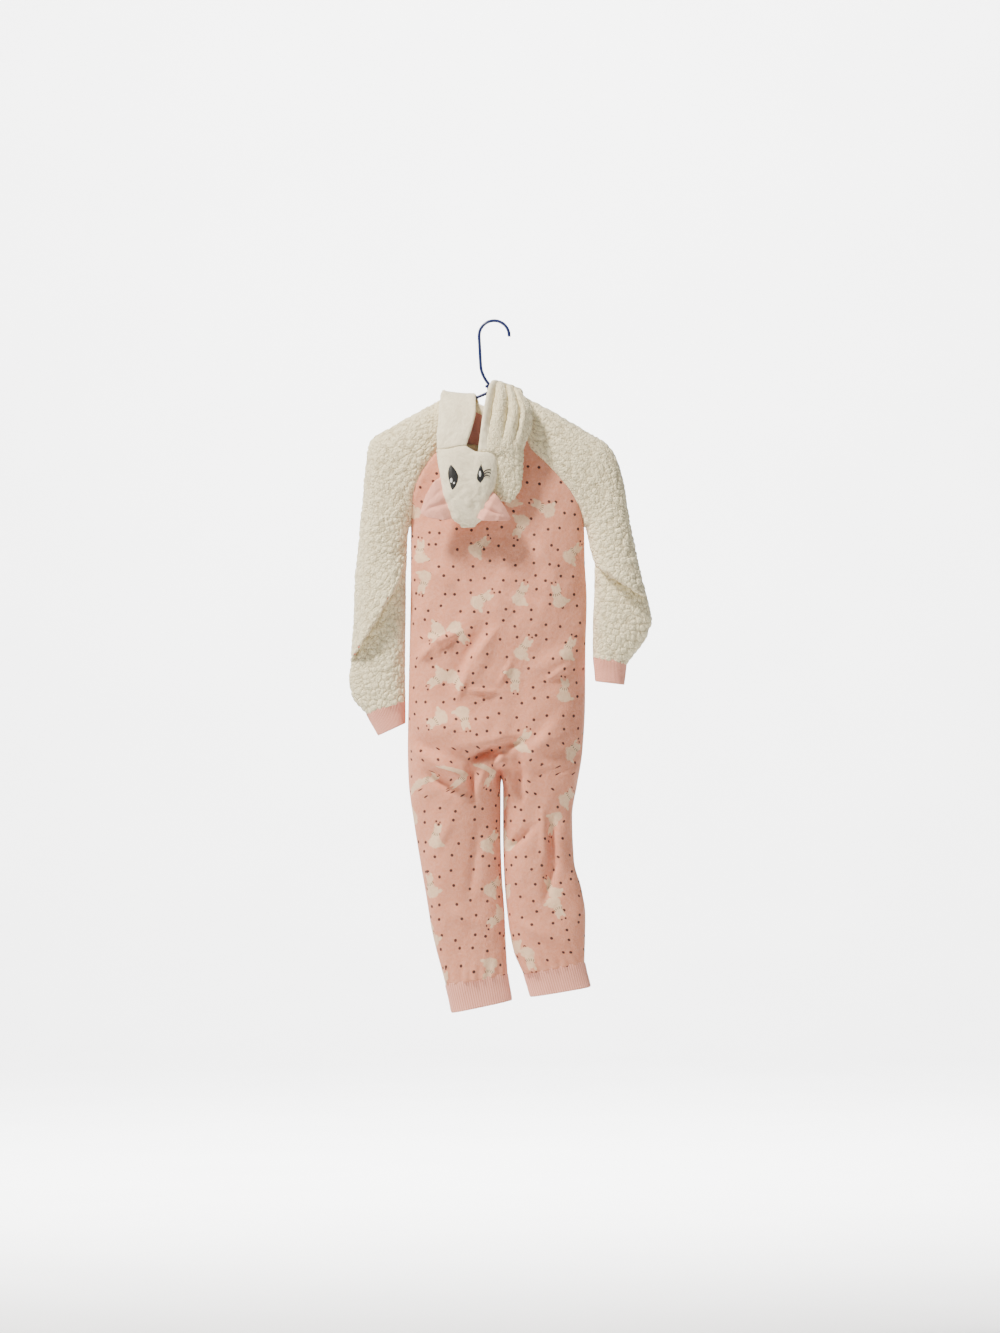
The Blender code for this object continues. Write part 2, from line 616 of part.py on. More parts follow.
def build_body(finish):
    """The back in one piece and the two fronts. Their grids are also returned, for what joins them."""
    backs = [body_panel(side, -1, body_rows(*BACK_ROWS), BACK_COLUMNS) for side in (-1, 1)]
    fronts = [body_panel(side, 1, body_rows(*FRONT_ROWS), FRONT_COLUMNS) for side in (-1, 1)]
    sheet("back", [pull_from_seams(grid, -1) for grid in backs], FLEECE_WALL, finish["fleece"])
    for name, grid in zip(("front_left", "front_right"), fronts):
        sheet(name, [pull_from_seams(grid, 1)], FLEECE_WALL, finish["fleece"])
    return fronts, backs


def build_sleeves(finish):
    """Sleeves: open at the raglan and closed below the underarm."""
    caps = []
    for side, name, table in ((-1, "sleeve_left", SLEEVE_LEFT), (1, "sleeve_right", SLEEVE_RIGHT)):
        grid = sleeve(side, table)
        sheet(name, [grid], SHERPA_WALL, finish["sherpa"])
        caps.append(grid)
    return caps


def cuff_grid(ring, inner_x, inner_z, outer_x, outer_z, depth_share):
    """A cuff's rows, from just below its sleeve's or leg's last row to its own lower edge."""
    ends = sorted((ring[:, 0].min(), ring[:, 0].max()), key=lambda x: abs(x - inner_x))
    start, width = ends[0], ends[1] - ends[0]
    over = (ring[:, 0] - start) / width
    low = np.stack([inner_x + (outer_x - inner_x) * over, ring[:, 1] * depth_share,
                    inner_z + (outer_z - inner_z) * over], axis=-1)
    rows = []
    for i in range(CUFF_ROWS):
        down = i / (CUFF_ROWS - 1)
        row = ring + (low - ring) * down
        row[:, 1] *= 1 - CUFF_WAIST * sin(pi * down)
        rows.append(row)
    rows[0] = ring + (rows[1] - ring) * (CUFF_SEAM / np.linalg.norm(rows[1] - ring, axis=1))[:, None]
    return np.array(rows)


def build_cuffs(finish, sleeves, backs, fronts):
    """Rib cuffs: short flattened tubes below the sleeves and legs."""
    rings = {"wrist_cuff_left": sleeves[0][-1][:-1], "wrist_cuff_right": sleeves[1][-1][:-1]}
    for index, name in enumerate(("ankle_cuff_left", "ankle_cuff_right")):
        back, front = backs[index][-1], fronts[index][-1]
        rings[name] = np.concatenate([back, front[::-1][1:-1]])
    for name, ring in rings.items():
        sheet(name, [cuff_grid(ring, *CUFFS[name])], RIB_WALL, finish["rib"], tube=True)


def build_hood(finish, fronts, caps, backs):
    """Side panels, face panel, lining and ears."""
    for index, (name, (side, rows, near, far)) in enumerate(HOOD_PANELS.items()):
        neck = neckline((fronts[index], caps[index], backs[index]), side, near + far + 1)
        grid = hood_half((HOOD_LEFT, HOOD_RIGHT)[index], neck, side, rows, near, far)
        sheet(name, [grid], PLUSH_WALL, finish["sherpa" if side > 0 else "plush"])
    face = face_grid(*FACE_GRID)
    sheet("hood_face", [face], PLUSH_WALL, finish["plush"], tube=True, close_below=CROWN_OPENING)
    for name, shape in EARS.items():
        sheet(name, [ear_grid(*shape)], PLUSH_WALL, finish["ear"])
    far_columns = HOOD_PANELS["hood_left"][3]
    lining = []
    for row in np.linspace(*LINING_ROWS):
        left = hood_row(HOOD_LEFT, row, 1, far_columns)[LINING_FROM:]
        right = hood_row(HOOD_RIGHT, row, 1, far_columns)[LINING_FROM:]
        middle = (left[-1:] + right[-1:]) / 2
        lining.append(np.concatenate([left[:-1], middle, right[:-1][::-1]]))
    lining = np.array(lining)
    lining[:, :, 1] -= (PLUSH_WALL + LINING_WALL) / 2 + SEAM_GAP
    sheet("hood_lining", [lining], LINING_WALL, finish["lining"])


def bend(before, corner, after, radius, steps=6):
    """Points of an arc that rounds a corner of the wire's route."""
    before, corner, after = (np.array(p, float) for p in (before, corner, after))
    back = (before - corner) / np.linalg.norm(before - corner)
    on = (after - corner) / np.linalg.norm(after - corner)
    half = np.arccos(np.clip(back @ on, -1, 1)) / 2
    centre = corner + (back + on) / np.linalg.norm(back + on) * radius / sin(half)
    first, last = corner + back * radius / np.tan(half), corner + on * radius / np.tan(half)
    start, end = first - centre, last - centre
    turn = np.arctan2(start[0] * end[1] - start[1] * end[0], start @ end)
    points = []
    for i in range(steps + 1):
        angle = turn * i / steps
        spun = [start[0] * cos(angle) - start[1] * sin(angle), start[0] * sin(angle) + start[1] * cos(angle)]
        points.append(centre + spun)
    return points


def hanger_route():
    """The wire's centre line: hook, shaft, left arm, bar, right arm and the wrap round the neck."""
    hook_z = WIRE_RADIUS - HOOK_RADIUS
    hook = [
        (HOOK_X + HOOK_RADIUS * cos(radians(angle)), hook_z + HOOK_RADIUS * sin(radians(angle)))
        for angle in np.linspace(HOOK_END_ANGLE, 180.0, 17)
    ]
    neck = np.array(ROUTE[2][:2])
    shaft = np.array(ROUTE[1][:2]) - neck
    shaft /= np.linalg.norm(shaft)
    beside = np.array([shaft[1], -shaft[0]])
    wrap_base = neck + shaft * WRAP_START
    landing = wrap_base + beside * WRAP_RADIUS
    corners = [hook[-1]] + [row[:2] for row in ROUTE] + [tuple(landing)]
    flat = list(hook)
    for i, row in enumerate(ROUTE):
        flat += bend(corners[i], row[:2], corners[i + 2], row[2])
    route = [np.array([x, 0.0, z]) for x, z in flat]
    route.append(np.array([landing[0] + WRAP_LEAD_IN, 0.0, landing[1] - WRAP_LEAD_IN]))
    for i in range(1, int(WRAP_TURNS * WRAP_STEPS) + 1):
        angle = 2 * pi * i / WRAP_STEPS
        along = wrap_base + shaft * WRAP_PITCH * i / WRAP_STEPS
        flat_out = along + beside * WRAP_RADIUS * cos(angle)
        route.append(np.array([flat_out[0], WRAP_RADIUS * sin(angle), flat_out[1]]))
    return route


def build_hanger(finish):
    """The wire hanger: one curve with a round section."""
    curve = bpy.data.curves.new("hanger", "CURVE")
    curve.dimensions = "3D"
    curve.bevel_depth = WIRE_RADIUS * MM
    curve.bevel_resolution = 2
    curve.use_fill_caps = True
    spline = curve.splines.new("POLY")
    route = hanger_route()
    spline.points.add(len(route) - 1)
    for point, place in zip(spline.points, route):
        point.co = (*(place * MM), 1.0)
    add_object("hanger", curve, finish["wire"])


def box(name, size, place, finish, collection="hooded_onesie"):
    """A box of a size, in millimetres, centred on a place."""
    bpy.ops.mesh.primitive_cube_add(size=1.0)
    made = bpy.context.object
    made.name = name
    made.data.name = name
    made.data.materials.append(finish)
    for vert in made.data.vertices:
        vert.co = [(vert.co[i] * size[i] + place[i]) * MM for i in range(3)]
    for holder in list(made.users_collection):
        holder.objects.unlink(made)
    bpy.data.collections[collection].objects.link(made)
    return made


def combine(target, operation, name, size, place, finish):
    """Joins a box to an object or cuts it out."""
    tool = box(name, size, place, finish, "cutters")
    tool.hide_render = True
    tool.display_type = "WIRE"
    made = target.modifiers.new(name, "BOOLEAN")
    made.operation = operation
    made.solver = "EXACT"
    made.object = tool
    return tool


def centre_front(fronts, z):
    """Where the centre front lies at a level: x and y, read off the edges of both fronts."""
    edge = (fronts[0][:, 0] + fronts[1][:, 0]) / 2
    return [float(smooth(edge[:, 2], edge[:, i], z)) for i in (0, 1)]


def build_zip(finish, fronts):
    """Tape inside the centre front, with its slider closed at the top and the pull hanging from it."""
    below = FLEECE_WALL / 2 + TAPE_WALL / 2 + TAPE_GAP
    tape = np.zeros((TAPE_ROWS, TAPE_COLUMNS, 3))
    for i, z in enumerate(np.linspace(ZIP_TOP_Z, ZIP_END_Z + TAPE_TAIL, TAPE_ROWS)):
        x, y = centre_front(fronts, z)
        for k, over in enumerate(np.linspace(-1.0, 1.0, TAPE_COLUMNS)):
            tape[i, k] = x + over * TAPE_HALF_WIDTH, y - below - TAPE_CURVE * over**2, z
    sheet("zip_tape", [tape], TAPE_WALL, finish["tape"])

    x, y = centre_front(fronts, SLIDER_Z)
    back_y = y - below + TAPE_WALL / 2 + SLIDER_LIFT
    front_y = back_y + SLIDER_SIZE[1]
    slider = box("zip_slider", SLIDER_SIZE, (x, (back_y + front_y) / 2, SLIDER_Z), finish["metal"])
    wide, deep, tall = BRIDGE_SIZE
    place = (x, front_y + (deep - BRIDGE_ROOT) / 2, SLIDER_Z)
    combine(slider, "UNION", "bridge", (wide, deep + BRIDGE_ROOT, tall), place, finish["metal"])
    hollow = (wide + THROUGH, deep - BRIDGE_WALL, tall - 2 * BRIDGE_WALL)
    axis_y = front_y + hollow[1] / 2
    combine(slider, "DIFFERENCE", "under_bridge", hollow, (x, axis_y, SLIDER_Z), finish["metal"])

    swing = bpy.data.objects.new("pull_axis", None)
    bpy.data.collections["hooded_onesie"].objects.link(swing)
    swing.location = (x * MM, axis_y * MM, SLIDER_Z * MM)
    pull = box("zip_pull", PULL_SIZE, (0.0, 0.0, (EYE_BAR - PULL_SIZE[2]) / 2), finish["metal"])
    pull.parent = swing
    hole = (PULL_HOLE[0], PULL_SIZE[1] + THROUGH, PULL_HOLE[1])
    place = (0.0, 0.0, -(EYE_BAR + PULL_HOLE[1]) / 2)
    combine(pull, "DIFFERENCE", "pull_hole", hole, place, finish["metal"]).parent = swing


def main():
    for old in list(bpy.data.objects):
        bpy.data.objects.remove(old, do_unlink=True)
    for name in ("hooded_onesie", "cutters"):
        bpy.context.scene.collection.children.link(bpy.data.collections.new(name))
    finish = {
        "fleece": material("printed fleece", (0.73, 0.45, 0.35), 0.95),
        "sherpa": material("sherpa", (0.78, 0.74, 0.62), 0.97),
        "plush": material("short plush", (0.76, 0.73, 0.64), 0.95),
        "rib": material("rib knit", (0.80, 0.45, 0.38), 0.9),
        "lining": material("pink lining", (0.45, 0.18, 0.16), 0.95),
        "ear": material("pink plush", (0.83, 0.53, 0.46), 0.95),
        "wire": material("blue coated wire", (0.02, 0.03, 0.16), 0.35),
        "tape": material("zip tape", (0.78, 0.45, 0.40), 0.9),
        "metal": material("bright metal", (0.7, 0.7, 0.72), 0.3, 1.0),
    }
    fronts, backs = build_body(finish)
    caps = build_sleeves(finish)
    build_cuffs(finish, caps, backs, fronts)
    build_hood(finish, fronts, caps, backs)
    build_hanger(finish)
    build_zip(finish, fronts)


main()
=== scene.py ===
"""A child's hooded onesie on a wire hanger, seen from the back.

The forms repeat the part's own sections at a finer spacing, with creases, pile, seams, stitches and
embroidery added. Tables are in millimetres and MM turns them into metres. The garment's back faces -Y.
"""
from math import atan2, cos, pi, radians, sin

import bmesh
import bpy
import numpy as np
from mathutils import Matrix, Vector, noise


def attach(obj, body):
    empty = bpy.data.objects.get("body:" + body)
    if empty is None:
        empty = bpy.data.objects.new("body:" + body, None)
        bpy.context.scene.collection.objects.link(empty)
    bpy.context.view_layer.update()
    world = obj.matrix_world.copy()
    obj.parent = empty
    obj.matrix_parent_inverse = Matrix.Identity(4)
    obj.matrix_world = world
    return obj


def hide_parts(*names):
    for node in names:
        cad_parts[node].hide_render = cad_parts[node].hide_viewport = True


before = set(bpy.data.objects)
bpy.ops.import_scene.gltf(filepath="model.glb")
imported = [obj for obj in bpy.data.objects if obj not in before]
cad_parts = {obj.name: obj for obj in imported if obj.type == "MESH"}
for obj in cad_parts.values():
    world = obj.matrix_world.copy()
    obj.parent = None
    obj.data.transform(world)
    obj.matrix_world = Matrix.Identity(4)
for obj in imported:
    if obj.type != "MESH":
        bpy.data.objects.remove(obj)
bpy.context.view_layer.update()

MM = 0.001
BODY = "garment"

# Walls and clearances of the part's panels
FLEECE_WALL = 2.0
RIB_WALL = 2.0
PLUSH_WALL = 2.4
LINING_WALL = 1.2
SEAM_GAP = 0.3
CROTCH_SEAM = 0.6
NECK_SEAM = 2.2
CUFF_SEAM = 0.6
CENTRE_BACK_GAP = 0.5

# Cloth thickness of the visible pieces whose pile adds to the wall
FLEECE_SHOWN = 1.8
SHERPA_SHOWN = 2.6
EAR_SHOWN = 3.0

# How far below the crotch the inseam's gap changes, and how soon folds fade at a seam and at their ends
CROTCH_EASE = (45.0, 20.0)
EDGE_HOLD = 1.6
FOLD_END_SHARE = 0.35

# Roundness of a flattened cloth tube: higher is flatter with rounder ends
WIDTH_POWER = 2.5
DEPTH_POWER = 2.1

# Levels on the body
NECK_Z = -136.0
UNDERARM_Z = -307.5
CROTCH_Z = -680.0
CLOSING_Z = -625.0
FRONT_NECK_DIP = 34.0
FRONT_DIP_END = -300.0
ZIP_END_Z = -560.0
ZIP_HALF_GAP = 4.8

# Half outline of the body, from the neck down the raglan and the side to the ankle: z, left x, right x
SIDE = (
    (-136.0, -60.0, 42.0),
    (-187.5, -78.0, 57.0),
    (-211.5, -97.0, 81.0),
    (-234.0, -110.0, 102.0),
    (-259.5, -118.5, 121.5),
    (-285.0, -121.0, 133.5),
    (-307.5, -121.5, 138.0),
    (-357.0, -121.5, 139.0),
    (-417.0, -122.0, 142.0),
    (-492.0, -123.5, 140.0),
    (-567.0, -125.0, 139.5),
    (-642.0, -126.0, 135.5),
    (-690.0, -124.5, 128.0),
    (-741.0, -118.0, 120.0),
    (-813.0, -106.0, 123.0),
    (-856.5, -98.0, 134.0),
    (-900.0, -90.5, 140.0),
    (-978.0, -69.0, 138.5),
)

# Centre line down to the crotch: z, x
CENTRE = (
    (-136.0, -9.0),
    (-234.0, -3.0),
    (-307.5, 7.0),
    (-567.0, 9.0),
    (-680.0, 14.0),
)

# The two inseams: z, left leg x, right leg x
INSEAM = (
    (-680.0, 14.0, 14.0),
    (-698.0, 12.4, 17.2),
    (-771.0, 12.2, 17.4),
    (-828.0, 14.0, 19.0),
    (-885.0, 18.0, 23.5),
    (-942.0, 20.5, 33.0),
    (-978.0, 22.8, 48.0),
)

# Depth of the body from its mid plane: z, back, front
DEPTH = (
    (-136.0, 21.0, 22.0),
    (-187.5, 26.0, 27.0),
    (-260.0, 31.0, 33.0),
    (-307.5, 34.0, 37.0),
    (-417.0, 40.0, 42.0),
    (-567.0, 46.0, 42.0),
    (-640.0, 50.0, 38.0),
    (-680.0, 45.0, 36.0),
    (-741.0, 36.0, 33.0),
    (-885.0, 29.0, 27.0),
    (-978.0, 24.0, 23.0),
)

# Depth of the raglan seam from the mid plane: z, depth. It closes at the underarm
RAGLAN_DEPTH = (
    (-136.0, 18.5),
    (-187.5, 22.0),
    (-234.0, 22.5),
    (-262.0, 19.0),
    (-285.0, 11.5),
    (-300.0, 4.5),
    (-307.5, 0.0),
)

# How much lower than the level of the row each leg's outer edge ends
HEM_DROP = (17.0, -17.0)

# Folds of the back: start x, start z, end x, end z, half width, height (a trough is negative)
BACK_FOLDS = (
    (-58.0, -636.0, 34.0, -628.0, 11.0, 9.0),
    (-40.0, -655.0, 26.0, -642.0, 7.0, -8.0),
    (-124.0, -610.0, -84.0, -655.0, 9.0, -6.0),
    (-4.0, -452.0, -74.0, -556.0, 15.0, -7.0),
    (6.0, -466.0, -50.0, -561.0, 13.0, 6.0),
    (-108.0, -506.0, -48.0, -468.0, 12.0, 6.0),
    (88.0, -742.0, 84.0, -862.0, 9.0, -6.0),
    (62.0, -520.0, 118.0, -498.0, 12.0, 4.0),
)

# A sleeve's rows: position along it, inner z, inner x past the underarm, outer x, outer z,
# near depth, far depth, and how far the cloth tucks up behind the row before it
SLEEVE_LEFT = (
    (0.0, -136.0, None, -64.5, -112.5, 19.5, 19.5, 0.0),
    (1.0, -187.5, None, -93.0, -126.5, 24.0, 24.0, 0.0),
    (2.0, -211.5, None, -121.5, -142.5, 25.5, 25.0, 0.0),
    (3.0, -234.0, None, -150.0, -159.0, 26.0, 25.0, 0.0),
    (4.0, -259.5, None, -178.5, -175.5, 25.0, 24.0, 0.0),
    (5.0, -285.0, None, -187.0, -199.5, 23.5, 23.0, 0.0),
    (6.0, -307.5, -125.5, -190.0, -232.0, 23.0, 23.0, 0.0),
    (7.0, -324.0, -128.0, -196.5, -301.5, 24.0, 24.0, 0.0),
    (8.0, -342.0, -128.5, -203.0, -370.0, 26.0, 24.0, 0.0),
    (9.0, -358.0, -129.0, -207.5, -448.0, 31.0, 23.0, 0.0),
    (10.0, -370.0, -129.5, -210.0, -505.0, 37.0, 22.0, 0.0),
    (11.0, -374.0, -130.0, -211.0, -512.0, 15.0, 21.0, 11.0),
    (12.0, -430.0, -130.5, -213.0, -536.0, 17.0, 20.0, 0.0),
    (13.0, -512.0, -131.5, -209.0, -560.0, 20.0, 20.0, 0.0),
    (14.0, -569.0, -131.0, -187.5, -588.0, 20.0, 18.0, 0.0),
)
SLEEVE_RIGHT = (
    (0.0, -136.0, None, 46.0, -112.5, 19.5, 19.5, 0.0),
    (1.0, -187.5, None, 75.0, -127.0, 24.0, 24.0, 0.0),
    (2.0, -211.5, None, 106.0, -145.0, 25.5, 25.0, 0.0),
    (3.0, -234.0, None, 139.0, -164.0, 26.0, 25.0, 0.0),
    (4.0, -259.5, None, 173.0, -184.0, 25.0, 24.0, 0.0),
    (5.0, -285.0, None, 189.0, -213.0, 23.5, 23.0, 0.0),
    (6.0, -307.5, 142.0, 196.0, -244.0, 23.0, 23.0, 0.0),
    (7.0, -325.0, 145.5, 205.5, -301.5, 24.0, 24.0, 0.0),
    (8.0, -342.0, 149.0, 214.0, -338.0, 26.0, 24.0, 0.0),
    (9.0, -353.0, 152.0, 222.0, -376.0, 31.0, 23.0, 0.0),
    (10.0, -362.0, 155.0, 230.5, -410.0, 36.0, 22.0, 0.0),
    (11.0, -366.0, 155.0, 232.0, -416.0, 15.0, 21.0, 9.0),
    (12.0, -405.0, 154.5, 238.0, -444.0, 18.0, 21.0, 0.0),
    (13.0, -455.0, 152.5, 231.0, -471.0, 20.0, 20.0, 0.0),
    (14.0, -503.0, 152.5, 201.0, -514.0, 19.0, 18.0, 0.0),
)
UNDERARM_ROW = 6.0
LAST_SLEEVE_ROW = 14.0
LIP_ROW = 10.0

# A cuff's lower edge, below the last row of its sleeve or leg: inner x, z, outer x, z, share of the depth
CUFFS = {
    "wrist_cuff_left": (-131.0, -601.0, -170.5, -619.0, 0.9),
    "wrist_cuff_right": (156.0, -538.0, 197.5, -543.0, 0.9),
    "ankle_cuff_left": (29.0, -1016.0, -60.0, -1035.0, 0.92),
    "ankle_cuff_right": (58.0, -1011.0, 147.0, -996.0, 0.92),
}
CUFF_WAIST = 0.07

# The hood's rows. Each runs from the face edge F round the side fold S to the back seam B:
# row, F x y z, S x y z, B x y z
HOOD_LEFT = (
    (1.0, -14.0, 24.0, -150.0, -67.0, -1.0, -105.5, -9.6, -23.0, -129.5),
    (2.0, -22.0, 13.0, -113.5, -72.0, -9.0, -103.5, -9.6, -27.5, -130.5),
    (3.0, -25.0, -10.0, -108.0, -75.0, -20.0, -107.0, -9.6, -30.0, -138.0),
    (4.0, -24.5, -34.0, -119.0, -77.0, -31.0, -116.0, -9.6, -32.0, -149.0),
    (5.0, -24.5, -50.0, -137.0, -78.5, -39.0, -137.0, -9.8, -34.0, -163.0),
    (6.0, -30.0, -58.0, -161.0, -80.0, -46.0, -163.0, -10.0, -36.0, -179.0),
    (7.0, -39.0, -65.0, -188.0, -81.0, -53.5, -194.0, -10.5, -38.0, -197.0),
)
HOOD_RIGHT = (
    (1.0, 2.0, 24.0, -148.0, 46.0, -1.0, -104.5, -8.4, -23.0, -129.5),
    (2.0, 13.0, 13.0, -102.5, 43.0, -12.0, -102.0, -8.4, -27.5, -130.5),
    (2.5, 15.5, -3.0, -91.5, 42.5, -18.0, -101.5, -8.4, -29.0, -134.0),
    (3.0, 3.0, -17.0, -88.0, 42.0, -25.0, -103.0, -8.4, -30.0, -138.0),
    (4.0, -3.0, -38.0, -96.0, 50.0, -36.0, -116.0, -8.4, -32.0, -149.0),
    (5.0, -9.5, -54.0, -121.0, 60.0, -43.0, -142.0, -8.2, -34.0, -163.0),
    (6.0, -15.0, -61.0, -155.0, 56.0, -47.0, -168.0, -8.0, -36.0, -179.0),
    (7.0, -20.0, -65.0, -196.4, 47.0, -48.0, -190.0, -7.5, -38.0, -197.0),
    (8.0, 9.0, -62.5, -200.0, 46.0, -48.0, -205.0, -3.0, -39.0, -206.0),
    (9.0, 10.5, -60.0, -215.0, 45.5, -48.5, -223.0, 1.0, -40.0, -220.0),
    (10.0, 9.5, -57.0, -236.0, 43.5, -49.0, -245.0, 2.0, -41.5, -240.0),
    (11.0, 6.0, -54.0, -255.0, 35.0, -49.0, -262.0, 4.0, -43.5, -256.0),
    (12.0, 9.0, -50.5, -268.0, 25.0, -49.5, -272.0, 8.0, -47.5, -268.0),
)
# Pleats that fan over the right side panel: how many, how many would reach the fold, height,
# and row, share of the height
PLEAT_COUNT = 3
PLEATS_TO_FOLD = 19 / 4
PLEAT_HEIGHT = 5.0
PLEAT_FADE = (
    (1.0, 0.0),
    (2.6, 1.0),
    (5.4, 1.0),
    (7.0, 0.0),
    (12.0, 0.0),
)
# The lining shows over these rows of the side panels
LINING_ROWS = (3.6, 6.5)

# Top rim of the face panel's near side, below the two side panels and the face opening: x, z
FACE_RIM = (
    (-82.0, -195.8),
    (-60.0, -192.6),
    (-40.0, -190.0),
    (-31.0, -194.6),
    (-20.0, -198.6),
    (8.0, -195.2),
)
FACE_RIM_ROWS = 1.6

# The face panel's rows, from the face opening to the crown: row, left x, right x, left z, right z,
# near y, far y
FACE_ROWS = (
    (0.0, -81.0, 4.5, -198.5, -198.5, -65.5, -42.5),
    (1.0, -79.0, 7.0, -216.0, -213.0, -71.0, -42.5),
    (2.0, -76.0, 6.0, -237.0, -234.0, -74.0, -43.5),
    (3.0, -72.5, 0.0, -258.0, -256.0, -74.0, -45.0),
    (4.0, -66.5, -5.0, -279.0, -277.0, -71.0, -47.0),
    (5.0, -58.0, -13.0, -296.0, -294.0, -66.0, -50.0),
    (6.0, -46.0, -24.0, -306.5, -305.0, -60.5, -56.5),
)

# Hanger: the wire and its coating, the hook, and the route's corners as x, z and bend radius
WIRE_RADIUS = 2.2
COATING = 0.2
HOOK_RADIUS = 22.6
HOOK_X = 3.2
HOOK_END_ANGLE = -4.0
ROUTE = (
    (-17.2, -62.0, 30.0),
    (-16.0, -79.0, 14.0),
    (2.5, -102.5, 5.0),
    (-192.0, -184.2, 5.0),
    (186.0, -196.2, 5.0),
)
WRAP_RADIUS = 4.9
WRAP_PITCH = 4.9
WRAP_TURNS = 1.5
WRAP_START = 4.0
WRAP_LEAD_IN = 3.4
WRAP_STEPS = 10

# Zip
TAPE_GAP = 0.5
ZIP_TOP_Z = -172.0
SLIDER_Z = -186.0

# Half gap between the two fronts: z, gap
ZIP_GAP = (
    (CROTCH_Z, 0.05),
    (ZIP_END_Z - 1.0, 0.05),
    (ZIP_END_Z + 7.0, ZIP_HALF_GAP),
    (ZIP_END_Z + 10.0, ZIP_HALF_GAP),
)


def smooth(knots, values, at):
    """Reads a table as a monotone cubic: no overshoot between its rows."""
    knots, values, at = np.asarray(knots, float), np.asarray(values, float), np.asarray(at, float)
    if knots[0] > knots[-1]:
        knots, values = knots[::-1], values[::-1]
    step = np.diff(knots)
    slope = np.diff(values) / step
    tangent = np.zeros(len(knots))
    tangent[0], tangent[-1] = slope[0], slope[-1]
    same = slope[:-1] * slope[1:] > 0
    near, far = 2 * step[1:] + step[:-1], step[1:] + 2 * step[:-1]
    safe = np.where(same, slope[:-1], 1.0), np.where(same, slope[1:], 1.0)
    tangent[1:-1] = np.where(same, (near + far) / (near / safe[0] + far / safe[1]), 0.0)
    at = np.clip(at, knots[0], knots[-1])
    cell = np.clip(np.searchsorted(knots, at) - 1, 0, len(step) - 1)
    t = (at - knots[cell]) / step[cell]
    return ((2 * t**3 - 3 * t**2 + 1) * values[cell] + (t**3 - 2 * t**2 + t) * step[cell] * tangent[cell]
            + (3 * t**2 - 2 * t**3) * values[cell + 1] + (t**3 - t**2) * step[cell] * tangent[cell + 1])


def column(table, index, at):
    """One column of a table, read at a value of its first column."""
    return smooth([row[0] for row in table], [row[index] for row in table], at)


def across(angle):
    """Place across a flattened tube, -1 to 1, for an angle of -pi/2 to pi/2."""
    return np.sign(np.sin(angle)) * np.abs(np.sin(angle)) ** (2 / WIDTH_POWER)


def bulge(angle):
    """Depth of a flattened tube, 1 in the middle and 0 at its folded sides."""
    return np.abs(np.cos(angle)) ** (2 / DEPTH_POWER)


def angle_at_depth(share):
    """The angle where a tube has this share of its depth."""
    return np.arccos(np.clip(share, 0.0, 1.0) ** (DEPTH_POWER / 2))


def fold_height(x, z, folds):
    """Sum of soft ridges and troughs, each along a line and fading at its ends."""
    total = np.zeros(np.broadcast(x, z).shape)
    for x0, z0, x1, z1, width, height in folds:
        along = np.array([x1 - x0, z1 - z0])
        share = ((x - x0) * along[0] + (z - z0) * along[1]) / (along @ along)
        held = np.clip(share, 0.0, 1.0)
        apart = np.hypot(x - x0 - held * along[0], z - z0 - held * along[1])
        fade = FOLD_END_SHARE + (1 - FOLD_END_SHARE) * np.sin(pi * held)
        total = total + height * np.exp(-((apart / width) ** 2)) * fade
    return total


# Extra creases of the back, seen at a closer look: start x, start z, end x, end z, half width, height
FINE_FOLDS = (
    (-110.0, -508.0, -88.0, -482.0, 5.0, 3.9),
    (-88.0, -482.0, -50.0, -467.0, 5.0, 3.9),
    (-76.0, -495.0, -48.0, -468.0, 4.0, -2.5),
    (-98.0, -474.0, -73.0, -476.0, 3.6, 3.4),
    (3.0, -465.0, -34.0, -511.0, 6.0, 3.7),
    (-34.0, -511.0, -50.0, -562.0, 5.0, 3.4),
    (-32.0, -552.0, 8.0, -555.0, 3.6, 2.8),
    (11.0, -542.0, 30.0, -508.0, 4.0, 2.8),
    (82.0, -537.0, 118.0, -514.0, 4.5, 3.2),
    (-112.0, -604.0, 0.0, -620.0, 24.0, 9.1),
    (-27.0, -652.0, 14.0, -633.0, 5.5, -11.1),
    (14.0, -633.0, 46.0, -630.0, 7.0, -7.8),
    (-126.0, -640.0, -84.0, -656.0, 9.0, 5.2),
    (-86.0, -654.0, -42.0, -685.0, 9.5, 8.5),
    (-96.0, -676.0, -58.0, -700.0, 8.0, -7.2),
    (-32.0, -660.0, -29.0, -714.0, 6.0, -8.5),
    (-21.0, -706.0, -8.0, -658.0, 5.0, 5.9),
    (12.0, -652.0, -1.0, -682.0, 5.0, 8.5),
    (13.0, -652.0, 25.0, -700.0, 5.5, 8.5),
    (9.0, -668.0, 9.0, -690.0, 4.0, -5.9),
    (39.0, -648.0, 42.0, -712.0, 8.0, -6.5),
    (60.0, -757.0, 24.0, -793.0, 6.0, -5.2),
    (70.0, -640.0, 112.0, -616.0, 12.0, 5.2),
    (86.0, -741.0, 92.0, -814.0, 6.0, -4.7),
    (92.0, -814.0, 80.0, -866.0, 6.0, -4.2),
    (76.0, -736.0, 80.0, -812.0, 6.0, 3.4),
    (-60.0, -742.0, -90.0, -800.0, 9.0, 3.1),
    (-20.0, -760.0, -34.0, -866.0, 8.0, -2.6),
    (-62.0, -880.0, -20.0, -906.0, 8.0, 2.9),
    (40.0, -900.0, 104.0, -932.0, 8.0, 3.1),
    (-96.0, -360.0, -60.0, -400.0, 9.0, 2.8),
    (60.0, -330.0, 100.0, -372.0, 10.0, 3.0),
    (30.0, -396.0, 70.0, -420.0, 9.0, -2.3),
    (96.0, -600.0, 60.0, -642.0, 8.0, 3.4),
)
